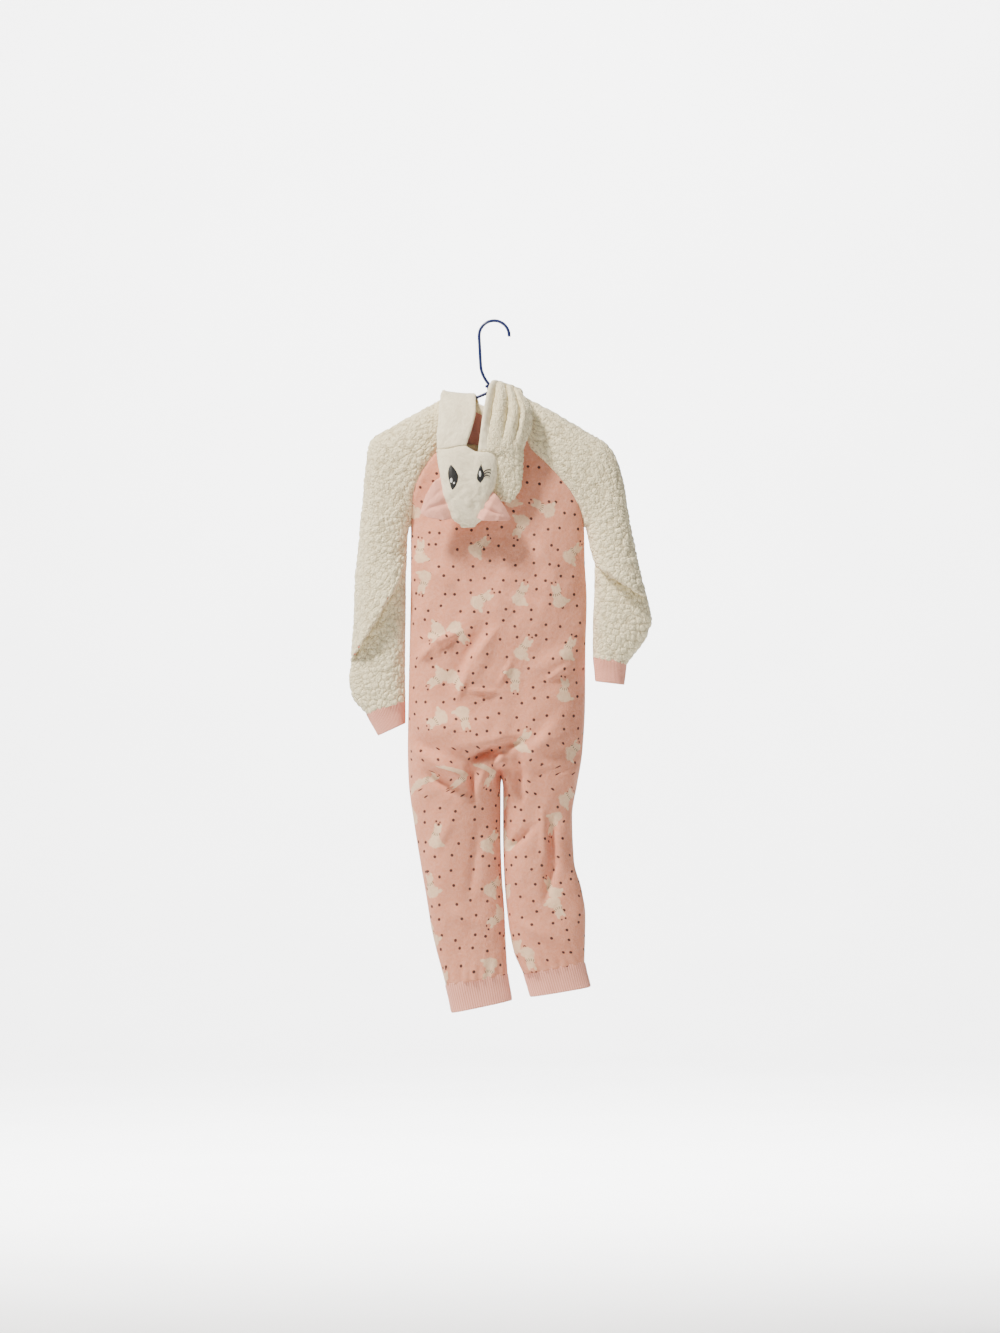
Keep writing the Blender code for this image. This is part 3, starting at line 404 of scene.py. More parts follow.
# Creases of the hidden front
FRONT_FOLDS = (
    (96.0, -330.0, 60.0, -380.0, 9.0, 3.4),
    (-84.0, -340.0, -50.0, -396.0, 9.0, 3.0),
    (70.0, -470.0, 24.0, -540.0, 11.0, 4.0),
    (-70.0, -520.0, -30.0, -486.0, 8.0, 3.4),
    (88.0, -590.0, 30.0, -640.0, 9.0, 4.4),
    (-96.0, -606.0, -20.0, -652.0, 9.0, 4.2),
    (-80.0, -630.0, -26.0, -668.0, 6.0, -3.0),
    (78.0, -730.0, 84.0, -840.0, 9.0, -4.0),
    (-60.0, -750.0, -84.0, -820.0, 9.0, 3.2),
    (-40.0, -862.0, -10.0, -900.0, 8.0, 3.0),
    (50.0, -880.0, 108.0, -920.0, 8.0, 3.0),
    (-70.0, -420.0, -30.0, -452.0, 7.0, 2.4),
)

# Spacing of the cloth's fine grids, and the numbers that shape seams, waves and pile
CLOTH_STEP = 2.9
SHERPA_STEP = 2.05
HOOD_STEP = 1.7
HALF_PANEL_WIDTH = 150
SLEEVE_GIRTH = 310
BAG_LENGTH = 185
FLAP_ROWS = 62
FACE_FINE_ROWS = 58
FACE_TURNS = 100
SLEEVE_ROWS = (66, 92, 14)
LIP_ROUND = 5.0
DENSE = 200
SEAM_ROLL = 1.5
SEAM_WIDTH = 3.2
CREASE = 1.7
WAVE = ((58.0, 4.2, 0.45), (24.0, 1.9, 0.6), (11.0, 0.4, 1.0))
INSEAM_EASE = 30.0
HEM_PUCKER = (15.0, 1.5, 20.0)
SLEEVE_NUBS = (8.6, 1.9)
HOOD_NUBS = (6.6, 1.4)
PLUSH_DOWN = (4.0, 0.6)
NUB_GROOVE = 0.22


def spaced(row, count):
    """A row of points read again at even distances along itself."""
    run = np.concatenate([[0.0], np.cumsum(np.linalg.norm(np.diff(row, axis=0), axis=1))])
    at = np.linspace(0.0, run[-1], count)
    return np.stack([np.interp(at, run, row[:, i]) for i in range(3)], axis=-1)


def levels_between(*stops):
    """Levels at the cloth's own spacing between the stops."""
    runs = [np.linspace(a, b, max(2, int(abs(b - a) / CLOTH_STEP)) + 1)[1:] for a, b in zip(stops, stops[1:])]
    return np.concatenate([[stops[0]], *runs])


def lay_out(grid, start=0.0):
    """How far each point lies along and across its own cloth, in millimetres."""
    across_run = np.cumsum(np.linalg.norm(np.diff(grid, axis=1), axis=-1), axis=1)
    u = np.concatenate([np.zeros((len(grid), 1)), across_run], axis=1)
    middle = grid[:, grid.shape[1] // 2]
    v = start + np.concatenate([[0.0], np.cumsum(np.linalg.norm(np.diff(middle, axis=0), axis=1))])
    return u, np.repeat(v[:, None], grid.shape[1], axis=1)


def out_of(grid, loop, toward):
    """Unit normals of a grid, turned so that their mean on the near half faces the given way."""
    along = np.gradient(grid, axis=0)
    if loop:
        over = (np.roll(grid, -1, axis=1) - np.roll(grid, 1, axis=1)) / 2
    else:
        over = np.gradient(grid, axis=1)
    normal = np.cross(along, over)
    normal /= np.maximum(np.linalg.norm(normal, axis=-1, keepdims=True), 1e-9)
    near = normal[:, : max(2, grid.shape[1] // 3)].mean(axis=(0, 1))
    return normal if near @ np.array(toward) > 0 else -normal


def rough(u, v, size, seed):
    """Smooth noise over a cloth, -1 to 1."""
    pairs = zip((u / size).ravel(), (v / size).ravel())
    return np.array([noise.noise(Vector((a, b, seed))) for a, b in pairs]).reshape(u.shape)


def nubs(grid, pitch, seed):
    """Height of curled pile, 0 to 1: rounded clumps of uneven size with thin grooves between them."""
    apart = []
    for x, y, z in (grid / pitch).reshape(-1, 3):
        bent = Vector((x + seed, 0.7 * y, z))
        bent += 0.35 * noise.noise_vector(bent / 2.4)
        near = noise.voronoi(bent)[0]
        apart.append((near[1] - near[0], near[0]))
    apart = np.array(apart)
    height = (1 - np.exp(-((apart[:, 0] / NUB_GROOVE) ** 2))) * (1 - 0.45 * np.clip(apart[:, 1], 0, 1) ** 2)
    return height.reshape(grid.shape[:2])


def body_half(side, face):
    """Half of the front (face 1) or back (face -1), from the centre line or inseam to the side."""
    pick = 1 if side < 0 else 2
    levels = levels_between(NECK_Z, UNDERARM_Z, CROTCH_Z, INSEAM[-1][0])
    level = levels[:, None]
    share = np.linspace(0.0, 1.0, DENSE)[None, :]
    outer = column(SIDE, pick, level)
    inner = np.where(level > CROTCH_Z, column(CENTRE, 1, level), column(INSEAM, pick, level))
    depth = column(DEPTH, 1 if face < 0 else 2, level)
    raglan = np.where(level > UNDERARM_Z, column(RAGLAN_DEPTH, 1, level), 0.0)
    closing = np.clip((CLOSING_Z - level) / (CLOSING_Z - CROTCH_Z), 0.0, 1.0)
    first = -pi / 2 * (closing**2 * (3 - 2 * closing)) ** 3
    last = angle_at_depth(raglan / depth)
    angle = first + (last - first) * share
    start, end = across(first), across(last)
    over = (across(angle) - start) / (end - start)
    x = inner + (outer - inner) * over
    y = face * depth * bulge(angle)
    z = level - HEM_DROP[pick - 1] * over * smooth([INSEAM[-1][0], CROTCH_Z], [1.0, 0.0], level) ** 2
    held = np.clip(bulge(angle) * EDGE_HOLD, 0.0, 1.0)
    folds = FINE_FOLDS if face < 0 else FRONT_FOLDS
    y = y + face * (CREASE * fold_height(x, z, folds) + fold_height(x, z, BACK_FOLDS) * (face < 0)) * held
    if face > 0:
        z = z - FRONT_NECK_DIP * (1 - share**2) * smooth([FRONT_DIP_END, NECK_Z], [0.0, 1.0], level) ** 2
    count = int(HALF_PANEL_WIDTH / CLOTH_STEP)
    return np.array([spaced(row, count) for row in np.stack([x, y, z], axis=-1)]), levels


def finish_half(grid, levels, side, face, seed):
    """Small waves, puckers at the hem, the open zip and the rolled seams of half a body panel."""
    grid = grid.copy()
    u, _ = lay_out(grid)
    length = u[:, -1:]
    level = levels[:, None]
    v = np.repeat(-level, grid.shape[1], axis=1)
    near_side = np.exp(-(((length - u) / SEAM_WIDTH) ** 2))
    near_inseam = np.exp(-((u / SEAM_WIDTH) ** 2)) * np.clip((CROTCH_Z - level) / INSEAM_EASE, 0.0, 1.0)
    held = (1 - near_side) * (1 - near_inseam)
    side_u = side * u
    waves = sum(height * rough(side_u + 0.3 * v, v * drape, size, seed) for size, height, drape in WAVE)
    pitch, height, reach = HEM_PUCKER
    hem = np.exp((INSEAM[-1][0] - level) / reach)
    waves = waves + height * np.cos(2 * pi * side_u / pitch + 2 * rough(side_u, v, 30.0, seed)) * hem
    grid[:, :, 1] += face * waves * held
    above = level > UNDERARM_Z + 1
    grid[:, :, 1] -= face * SEAM_ROLL * near_side * above
    grid[:, :, 0] -= side * SEAM_ROLL * 0.6 * near_side * ~above
    grid[:, -1, 0] -= side * SEAM_GAP * above[:, 0]
    grid[:, -1, 1] = np.where(above[:, 0], grid[:, -1, 1], face * SEAM_GAP / 2)
    legs = levels <= CROTCH_Z
    eased = [CROTCH_Z - CROTCH_EASE[0], CROTCH_Z - CROTCH_EASE[1]]
    inseam = smooth(eased, [SEAM_GAP / 2, CROTCH_SEAM], levels)
    grid[legs, 0, 1] = face * inseam[legs]
    if face > 0:
        gap = column(ZIP_GAP, 1, grid[:, :, 2])
        near_centre = np.clip(1 - u / length, 0.0, 1.0) ** 2
        grid[:, :, 0] += np.where(level > CROTCH_Z - 1, side * gap * near_centre, 0.0)
    return grid


def sleeve_rows(side, table):
    """A sleeve's fine grid, with the elbow's lip rolled under."""
    yoke, arm, lip = SLEEVE_ROWS
    upper = [np.linspace(0.0, UNDERARM_ROW, yoke), np.linspace(UNDERARM_ROW, LIP_ROW, arm)[1:]]
    rolled, lower = np.linspace(0.0, 1.0, lip)[1:], np.linspace(LIP_ROW + 1, LAST_SLEEVE_ROW, arm)[1:]
    at = np.concatenate([*upper, LIP_ROW + rolled, lower])
    turn = np.concatenate([np.zeros(len(upper[0]) + len(upper[1])), rolled, np.zeros(len(lower))])
    inner_z = column([(r[0], r[1]) for r in table], 1, at)
    past = [(r[0], r[2]) for r in table if r[2] is not None]
    pick = 1 if side < 0 else 2
    inner_x = np.where(at < UNDERARM_ROW, column(SIDE, pick, inner_z), column(past, 1, at))
    outer_x, outer_z, near, far, tuck = (column(table, i, at) for i in (3, 4, 5, 6, 7))
    raglan = np.where(at < UNDERARM_ROW, column(RAGLAN_DEPTH, 1, inner_z), 0.0)
    share = np.linspace(0.0, 1.0, DENSE)
    rows = []
    for i in range(len(at)):
        halves = []
        for face, depth in ((-1, near[i]), (1, far[i])):
            first = -angle_at_depth(raglan[i] / depth)
            angle = first + (pi / 2 - first) * share
            over = (across(angle) - across(first)) / (1 - across(first))
            x = inner_x[i] + (outer_x[i] - inner_x[i]) * over
            z = inner_z[i] + (outer_z[i] - inner_z[i]) * over
            if face < 0:
                z = z + (tuck[i] - LIP_ROUND * sin(pi * turn[i])) * bulge(angle) ** 3
            halves.append(np.stack([x, face * depth * bulge(angle), z], axis=-1))
        rows.append(spaced(np.concatenate([halves[0], halves[1][::-1][1:]]), int(SLEEVE_GIRTH / SHERPA_STEP)))
    return np.array(rows), at


def finish_sleeve(grid, at, side, seed):
    """Rolled raglan edges, soft bends and the curled pile of a sleeve."""
    grid = grid.copy()
    u, v = lay_out(grid)
    edge = np.minimum(u, u[:, -1:] - u)
    open_rows = (at < UNDERARM_ROW - 0.01)[:, None]
    near_edge = np.exp(-((edge / (1.3 * SEAM_WIDTH)) ** 2)) * open_rows
    grid[:, :, 1] -= np.sign(grid[:, :, 1]) * SEAM_ROLL * near_edge
    grid[:, [0, -1], 0] += side * SEAM_GAP * open_rows
    outward = out_of(grid, False, (0, -1, 0))
    free = 1 - np.exp(-((edge / 5.0) ** 2))
    pitch, height = SLEEVE_NUBS
    pile = nubs(grid, pitch, seed)
    bends = 1.6 * rough(u, v, 60.0, seed + 3) * free
    grid = grid + outward * ((height * (pile - 0.45) * np.maximum(free, 0.25)) + bends)[:, :, None]
    return grid, u, v, pile


def hood_rows(table, neck_row, side, near, far):
    """A side panel of the hood at a fine spacing, with its neck row first. The right one is pleated."""
    at = np.linspace(1.0, table[-1][0], int(BAG_LENGTH / HOOD_STEP) if side > 0 else FLAP_ROWS)
    half = np.linspace(0.0, 1.0, DENSE // 2)
    rows = []
    for row in at:
        face_edge, fold, back = ([float(column(table, i + j, row)) for j in range(3)] for i in (1, 4, 7))
        held = float(column(PLEAT_FADE, 1, row)) if side > 0 else 0.0
        halves = []
        for end, near_side in ((face_edge, True), (back, False)):
            over = np.sin(half * pi / 2)
            deep = bulge(np.arcsin(np.clip(over ** (WIDTH_POWER / 2), 0, 1)))
            x = end[0] + (fold[0] - end[0]) * over
            y = fold[1] + (end[1] - fold[1]) * deep
            z = end[2] + (fold[2] - end[2]) * over
            if near_side and side > 0:
                turns = half * PLEATS_TO_FOLD
                valley = np.abs(np.cos(pi * np.minimum(turns, PLEAT_COUNT)))
                y = y - held * PLEAT_HEIGHT * (2 * valley**0.8 - 1) * np.where(turns > PLEAT_COUNT, 0.0, 1.0)
                fade = np.clip(turns - PLEAT_COUNT, 0.0, 1.0)
                y = y - held * PLEAT_HEIGHT * np.where(turns > PLEAT_COUNT, (1 - fade) ** 2, 0.0)
            halves.append(np.stack([x, y, z], axis=-1))
        rows.append(spaced(np.concatenate([halves[0], halves[1][::-1][1:]]), near + far))
    rows = np.array(rows)
    start = spaced(neck_row, near + far)
    rise = [start + (rows[0] - start) * share for share in np.linspace(0.0, 1.0, 10)[:-1]]
    return np.concatenate([rise, rows])


def ring_rows():
    """The face panel at a fine spacing, closed at the crown."""
    rows = []
    turns = np.linspace(0.0, 2 * pi, FACE_TURNS, endpoint=False)
    for row in np.linspace(0.0, FACE_ROWS[-1][0], FACE_FINE_ROWS):
        rows.append([face_point(row, turn) for turn in turns])
    rows = np.array(rows)
    last = rows[-1]
    middle = last.mean(axis=0)
    crown = []
    for share in np.linspace(0.0, 1.0, 9)[1:]:
        ring = middle + (last - middle) * [1 - share**2, 1 - share, 1 - share]
        ring[:, 2] = last[:, 2] * (1 - share) + (middle[2] - 1.5) * share - 3.5 * sin(pi * share) * 0.6
        crown.append(ring)
    crown[-1][:] = crown[-1].mean(axis=0) + (crown[-1] - crown[-1].mean(axis=0)) * 0.4
    return np.concatenate([rows, crown])


def ear_rows(outline, rows=34, columns=30):
    """An ear between its upper and its lower edge, cupped and creased, from root to tip."""
    upper, lower, cup, crease = outline
    upper, lower = (spaced(np.array(edge, float), rows) for edge in (upper, lower))
    share = np.linspace(0.0, 1.0, columns)
    grid = upper[:, None] + (lower - upper)[:, None] * share[None, :, None]
    out = np.linspace(0.0, 1.0, rows)[:, None]
    hollow = cup * np.sin(pi * share)[None, :] * (1 - out) ** 0.6
    folded = crease * np.exp(-(((share[None, :] - 0.62 + 0.1 * out) / 0.09) ** 2))
    folded = folded * np.sin(pi * np.minimum(1, out + 0.2))
    second = 0.6 * crease * np.exp(-(((share[None, :] - 0.3) / 0.08) ** 2)) * (1 - out)
    grid[:, :, 1] -= hollow - folded - second
    return grid


# The ears' upper and lower edges from root to tip as x y z, the depth of the cup, and of the crease
EARS_SEEN = {
    "ear_left": (
        ((-73.0, -57.0, -232.0), (-86.0, -62.0, -242.0), (-98.0, -62.5, -262.0), (-105.0, -61.0, -286.0)),
        ((-56.0, -58.0, -296.0), (-72.0, -67.0, -299.0), (-94.0, -66.0, -295.0), (-104.5, -62.0, -289.0)),
        5.0,
        3.4,
    ),
    "ear_right": (
        ((-6.0, -58.0, -250.0), (6.0, -65.0, -262.0), (18.0, -62.0, -279.0), (27.0, -58.0, -296.0)),
        ((-27.0, -60.0, -293.0), (-14.0, -72.0, -300.0), (8.0, -68.0, -300.0), (25.5, -59.0, -298.5)),
        5.0,
        3.4,
    ),
}

# Embroidery on the face panel, outlines as x, z
EYES = {
    "eye_left": (
        (-61.5, -215.6), (-57.6, -219.6), (-52.8, -226.0), (-49.6, -233.0), (-50.6, -241.0), (-53.6, -249.0),
        (-58.8, -255.6), (-61.4, -251.0), (-63.2, -243.0), (-65.2, -236.0), (-65.6, -228.0), (-64.4, -221.0),
    ),
    "eye_right": (
        (-15.9, -214.8), (-14.4, -220.0), (-12.6, -226.4), (-10.6, -232.0), (-12.8, -239.0), (-17.2, -244.6),
        (-20.6, -241.4), (-22.8, -238.0), (-22.2, -231.0), (-19.6, -222.0),
    ),
}
# White stitched glints: x, z, half width, half height
GLINTS = (
    (-60.4, -240.0, 2.2, 4.4),
    (-56.4, -244.0, 1.6, 2.0),
    (-17.6, -230.5, 2.0, 5.6),
)
LASHES = (
    ((-12.5, -228.0), (-6.8, -223.8), (-1.5, -224.6)),
    ((-11.6, -231.0), (-6.2, -227.8), (-1.8, -229.4)),
    ((-11.8, -234.6), (-7.0, -232.2), (-3.2, -234.0)),
)
THREAD_RISE = 1.1


def neckline(panels, side, columns):
    """The neck edge from centre front over the shoulder to centre back, read off the panels' tops."""
    front, cap, back = panels
    edge = np.concatenate([front[0], cap[0][::-1][1:-1], back[0][::-1]])
    below = np.concatenate([front[1], cap[1][::-1][1:-1], back[1][::-1]])
    out = (edge - below) / np.linalg.norm(edge - below, axis=1)[:, None]
    row = spaced(edge + NECK_SEAM * out, columns)
    row[[0, -1], 0] += side * CENTRE_BACK_GAP
    return row


def face_point(row, angle):
    """A point of the face panel: angle 0 is its near middle, and it runs round to the far middle."""
    left, right = column(FACE_ROWS, 1, row), column(FACE_ROWS, 2, row)
    left_z, right_z = column(FACE_ROWS, 3, row), column(FACE_ROWS, 4, row)
    near, far = column(FACE_ROWS, 5, row), column(FACE_ROWS, 6, row)
    turned = atan2(sin(angle), abs(cos(angle)))
    place = float(across(turned))
    middle, half = (near + far) / 2, (far - near) / 2
    deep = float(bulge(turned)) * (-1 if cos(angle) > 0 else 1)
    x = (left + right) / 2 + (right - left) / 2 * place
    z = (left_z + right_z) / 2 + (right_z - left_z) / 2 * place
    held = max(0.0, 1 - row / FACE_RIM_ROWS)
    rim = float(column(FACE_RIM, 1, x)) if cos(angle) > -0.01 else z
    return np.array([x, middle + half * deep, z + (rim - z) * held])


def hood_row(table, row, near_columns, far_columns):
    """One row of a side panel: from its face edge over the near side, round the fold, to the back seam."""
    face_edge, fold, back = ([float(column(table, first + j, row)) for j in range(3)] for first in (1, 4, 7))
    points = np.zeros((near_columns + far_columns + 1, 3))
    for k in range(len(points)):
        if k <= near_columns:
            end, place = face_edge, k / near_columns
        else:
            end, place = back, (near_columns + far_columns - k) / far_columns
        over = sin(place * pi / 2)
        deep = float(bulge(np.arcsin(over ** (WIDTH_POWER / 2))))
        x = end[0] + (fold[0] - end[0]) * over
        z = end[2] + (fold[2] - end[2]) * over
        points[k] = x, fold[1] + (end[1] - fold[1]) * deep, z
    return points


def bend(before, corner, after, radius, steps=6):
    """Points of an arc that rounds a corner of the wire's route."""
    before, corner, after = (np.array(p, float) for p in (before, corner, after))
    back = (before - corner) / np.linalg.norm(before - corner)
    on = (after - corner) / np.linalg.norm(after - corner)
    half = np.arccos(np.clip(back @ on, -1, 1)) / 2
    centre = corner + (back + on) / np.linalg.norm(back + on) * radius / sin(half)
    first, last = corner + back * radius / np.tan(half), corner + on * radius / np.tan(half)
    start, end = first - centre, last - centre
    turn = np.arctan2(start[0] * end[1] - start[1] * end[0], start @ end)
    points = []
    for i in range(steps + 1):
        angle = turn * i / steps
        spun = [start[0] * cos(angle) - start[1] * sin(angle), start[0] * sin(angle) + start[1] * cos(angle)]
        points.append(centre + spun)
    return points


def hanger_route():
    """The wire's centre line: hook, shaft, left arm, bar, right arm and the wrap round the neck."""
    hook_z = WIRE_RADIUS - HOOK_RADIUS
    hook = [
        (HOOK_X + HOOK_RADIUS * cos(radians(angle)), hook_z + HOOK_RADIUS * sin(radians(angle)))
        for angle in np.linspace(HOOK_END_ANGLE, 180.0, 17)
    ]
    neck = np.array(ROUTE[2][:2])
    shaft = np.array(ROUTE[1][:2]) - neck
    shaft /= np.linalg.norm(shaft)
    beside = np.array([shaft[1], -shaft[0]])
    wrap_base = neck + shaft * WRAP_START
    landing = wrap_base + beside * WRAP_RADIUS
    corners = [hook[-1]] + [row[:2] for row in ROUTE] + [tuple(landing)]
    flat = list(hook)
    for i, row in enumerate(ROUTE):
        flat += bend(corners[i], row[:2], corners[i + 2], row[2])
    route = [np.array([x, 0.0, z]) for x, z in flat]
    route.append(np.array([landing[0] + WRAP_LEAD_IN, 0.0, landing[1] - WRAP_LEAD_IN]))
    for i in range(1, int(WRAP_TURNS * WRAP_STEPS) + 1):
        angle = 2 * pi * i / WRAP_STEPS
        along = wrap_base + shaft * WRAP_PITCH * i / WRAP_STEPS
        flat_out = along + beside * WRAP_RADIUS * cos(angle)
        route.append(np.array([flat_out[0], WRAP_RADIUS * sin(angle), flat_out[1]]))
    return route


class Looks:
    """A Principled material whose colour, roughness and bump come from procedural nodes."""

    def __init__(self, name, **inputs):
        self.material = bpy.data.materials.new(name)
        self.material.use_nodes = True
        self.tree = self.material.node_tree
        self.shader = self.tree.nodes["Principled BSDF"]
        for socket, value in inputs.items():
            self.shader.inputs[socket.replace("_", " ")].default_value = value

    def node(self, kind, **settings):
        made = self.tree.nodes.new(kind)
        for key, value in settings.items():
            setattr(made, key, value)
        return made

    def put(self, value, socket):
        """A number is set on the socket, and a node's output is linked to it."""
        if isinstance(value, bpy.types.NodeSocket):
            self.tree.links.new(value, socket)
        else:
            socket.default_value = value

    def math(self, operation, a, b=0.0, c=0.0):
        made = self.node("ShaderNodeMath", operation=operation)
        for value, socket in zip((a, b, c), made.inputs):
            self.put(value, socket)
        return made.outputs[0]

    def sheen(self, weight, roughness=None, tint=None):
        for key, value in (("Weight", weight), ("Roughness", roughness), ("Tint", tint)):
            if value is not None:
                self.shader.inputs["Sheen " + key].default_value = value

    def length(self, a, b):
        squares = [self.math("MULTIPLY", side, side) for side in (a, b)]
        return self.math("SQRT", self.math("ADD", *squares))

    def most(self, values):
        """The largest of several values."""
        top = values[0]
        for value in values[1:]:
            top = self.math("MAXIMUM", top, value)
        return top

    def step(self, value, low, high):
        """0 below low and 1 above high, eased between; turned round where low is the higher."""
        made = self.node("ShaderNodeMapRange", interpolation_type="SMOOTHSTEP")
        if low > high:
            low, high = high, low
            made.inputs["To Min"].default_value, made.inputs["To Max"].default_value = 1.0, 0.0
        made.inputs["From Min"].default_value, made.inputs["From Max"].default_value = low, high
        self.put(value, made.inputs["Value"])
        return made.outputs["Result"]

    def spread(self, value, low, high, new_low, new_high):
        made = self.node("ShaderNodeMapRange")
        for key, number in (("From Min", low), ("From Max", high), ("To Min", new_low), ("To Max", new_high)):
            made.inputs[key].default_value = number
        self.put(value, made.inputs["Value"])
        return made.outputs["Result"]

    def mix(self, share, a, b, blend="MIX"):
        made = self.node("ShaderNodeMix", data_type="RGBA", blend_type=blend)
        self.put(share, made.inputs["Factor"])
        for value, socket in ((a, made.inputs[6]), (b, made.inputs[7])):
            self.put((*value, 1.0) if isinstance(value, tuple) else value, socket)
        return made.outputs[2]

    def place(self):
        """The cloth's own coordinates, in metres along and across it."""
        return self.node("ShaderNodeUVMap", uv_map="cloth").outputs[0]

    def rest(self):
        return self.node("ShaderNodeTexCoord").outputs["Object"]

    def noise(self, size, detail=2.0, at=None, roughness=0.5):
        made = self.node("ShaderNodeTexNoise")
        made.inputs["Scale"].default_value = 1.0 / size
        made.inputs["Detail"].default_value = detail
        made.inputs["Roughness"].default_value = roughness
        self.put(at or self.rest(), made.inputs["Vector"])
        return made.outputs[0]

    def cells(self, size, flat=False, randomness=1.0, feature="F1"):
        made = self.node("ShaderNodeTexVoronoi", voronoi_dimensions="2D" if flat else "3D", feature=feature)
        made.inputs["Scale"].default_value = 1.0 / size
        made.inputs["Randomness"].default_value = randomness
        self.put(self.place() if flat else self.rest(), made.inputs["Vector"])
        return made

    def pile(self):
        return self.node("ShaderNodeAttribute", attribute_name="pile").outputs["Fac"]

    def bump(self, height, depth, before=None):
        made = self.node("ShaderNodeBump")
        made.inputs["Distance"].default_value = depth
        made.inputs["Strength"].default_value = 1.0
        self.put(height, made.inputs["Height"])
        if before:
            self.tree.links.new(before, made.inputs["Normal"])
        return made.outputs[0]

    def finish(self, colour, normal=None, roughness=None):
        self.put((*colour, 1.0) if isinstance(colour, tuple) else colour, self.shader.inputs["Base Color"])
        if normal:
            self.tree.links.new(normal, self.shader.inputs["Normal"])
        if roughness is not None:
            self.put(roughness, self.shader.inputs["Roughness"])
        return self.material


PINK = (0.73, 0.285, 0.168)
PINK_DEEP = (0.57, 0.190, 0.105)
CREAM = (0.88, 0.76, 0.48)
DOT = (0.022, 0.007, 0.005)
DASH = (0.07, 0.035, 0.02)
SHERPA = (0.91, 0.80, 0.51)
# Painted shade for the sherpa's grooves, darker than its clumps
SHERPA_GROOVE_SHADE = (0.58, 0.48, 0.28)


def animal_frame(look):
    """Each animal's own x and y in millimetres, turned a little, and some upside down."""
    animal = look.cells(ANIMAL_PITCH * MM, flat=True, randomness=0.75)
    local = look.node("ShaderNodeVectorMath", operation="SUBTRACT")
    look.put(look.place(), local.inputs[0])
    look.put(animal.outputs["Position"], local.inputs[1])
    scaled = look.node("ShaderNodeVectorMath", operation="SCALE")
    scaled.inputs["Scale"].default_value = 1.0 / MM
    look.put(local.outputs[0], scaled.inputs[0])
    tint = look.node("ShaderNodeSeparateColor")
    look.put(animal.outputs["Color"], tint.inputs[0])
    flip = look.math("MULTIPLY", look.math("GREATER_THAN", tint.outputs[1], UPRIGHT_SHARE), pi)
    sway = look.spread(tint.outputs[0], 0.0, 1.0, -ANIMAL_SWAY, ANIMAL_SWAY)
    turn = look.node("ShaderNodeVectorRotate", rotation_type="Z_AXIS")
    look.put(scaled.outputs[0], turn.inputs["Vector"])
    look.put(look.math("ADD", flip, sway), turn.inputs["Angle"])
    split = look.node("ShaderNodeSeparateXYZ")
    look.put(turn.outputs[0], split.inputs[0])
    return split.outputs[0], split.outputs[1]


def animal_body(look, x, y):
    """The pale shape of the animal, with a ruffled edge."""
    ruffle = look.math("MULTIPLY", look.math("SUBTRACT", look.noise(0.004, 2.0), 0.5), 0.55)
    parts = []
    for at_x, at_y, wide, tall in ANIMAL_SHAPE:
        over = look.math("DIVIDE", look.math("SUBTRACT", x, at_x), wide)
        up = look.math("DIVIDE", look.math("SUBTRACT", y, at_y), tall)
        parts.append(look.step(look.math("ADD", look.length(over, up), ruffle), 1.12, 0.82))
    return look.most(parts)


def animal_dashes(look, x, y):
    """The arc of short dashes at the animal."""
    below = look.math("SUBTRACT", DASH_CENTRE, y)
    angle = look.math("ARCTAN2", x, below)
    comb = look.step(look.math("COSINE", look.math("MULTIPLY", angle, 2 * pi / DASH_ANGLE)), 0.1, 0.6)
    off_ring = look.math("SUBTRACT", look.length(x, below), DASH_RADIUS)
    ring = look.step(look.math("ABSOLUTE", off_ring), 2.3, 1.7)
    reach = look.step(look.math("ABSOLUTE", angle), 2.6 * DASH_ANGLE, 2.4 * DASH_ANGLE)
    return look.math("MULTIPLY", look.math("MULTIPLY", comb, ring), reach)


def animal_spots(look, x, y):
    """The small dark spots of each animal."""
    parts = []
    for at_x, at_y, radius in ANIMAL_SPOTS:
        far = look.length(look.math("SUBTRACT", x, at_x), look.math("SUBTRACT", y, at_y))
        parts.append(look.step(far, radius + 0.35, radius - 0.35))
    return look.most(parts)


def printed_fleece(printed=True):
    """Short napped pink fleece with jittered dark dots and soft pale animals of a plain design."""
    look = Looks("fleece print" if printed else "fleece inside", Roughness=0.94)
    look.sheen(0.12, 0.5, (1.0, 0.86, 0.80, 1.0))
    nap = look.noise(0.0045, 3.0)
    patch = look.noise(0.045, 2.0)
    colour = look.mix(look.spread(patch, 0.3, 0.7, 0.0, 0.30), PINK, PINK_DEEP)
    colour = look.mix(look.spread(nap, 0.35, 0.75, 0.0, 0.22), colour, (0.90, 0.53, 0.42))
    if printed:
        x, y = animal_frame(look)
        shape = animal_body(look, x, y)
        dots = look.cells(DOT_PITCH * MM, flat=True, randomness=0.62)
        far = look.math("MULTIPLY", dots.outputs["Distance"], DOT_PITCH)
        dot = look.step(far, DOT_RADIUS + 0.4, DOT_RADIUS - 0.35)
        clear = look.math("SUBTRACT", 1.0, look.math("MINIMUM", look.math("MULTIPLY", shape, 2.0), 1.0))
        dark = look.math("MAXIMUM", look.math("MULTIPLY", dot, clear), animal_spots(look, x, y))
        fibre = look.spread(nap, 0.3, 0.8, 0.72, 1.0)
        colour = look.mix(look.math("MULTIPLY", look.math("MULTIPLY", shape, 0.62), fibre), colour, CREAM)
        colour = look.mix(look.math("MULTIPLY", animal_dashes(look, x, y), 0.72), colour, DASH)
        colour = look.mix(look.math("MULTIPLY", dark, 0.93), colour, DOT)
    fine = look.bump(look.noise(0.0016, 3.0), 0.0007)
    normal = look.bump(look.noise(0.006, 3.0), 0.0009, fine)
    return look.finish(colour, normal)


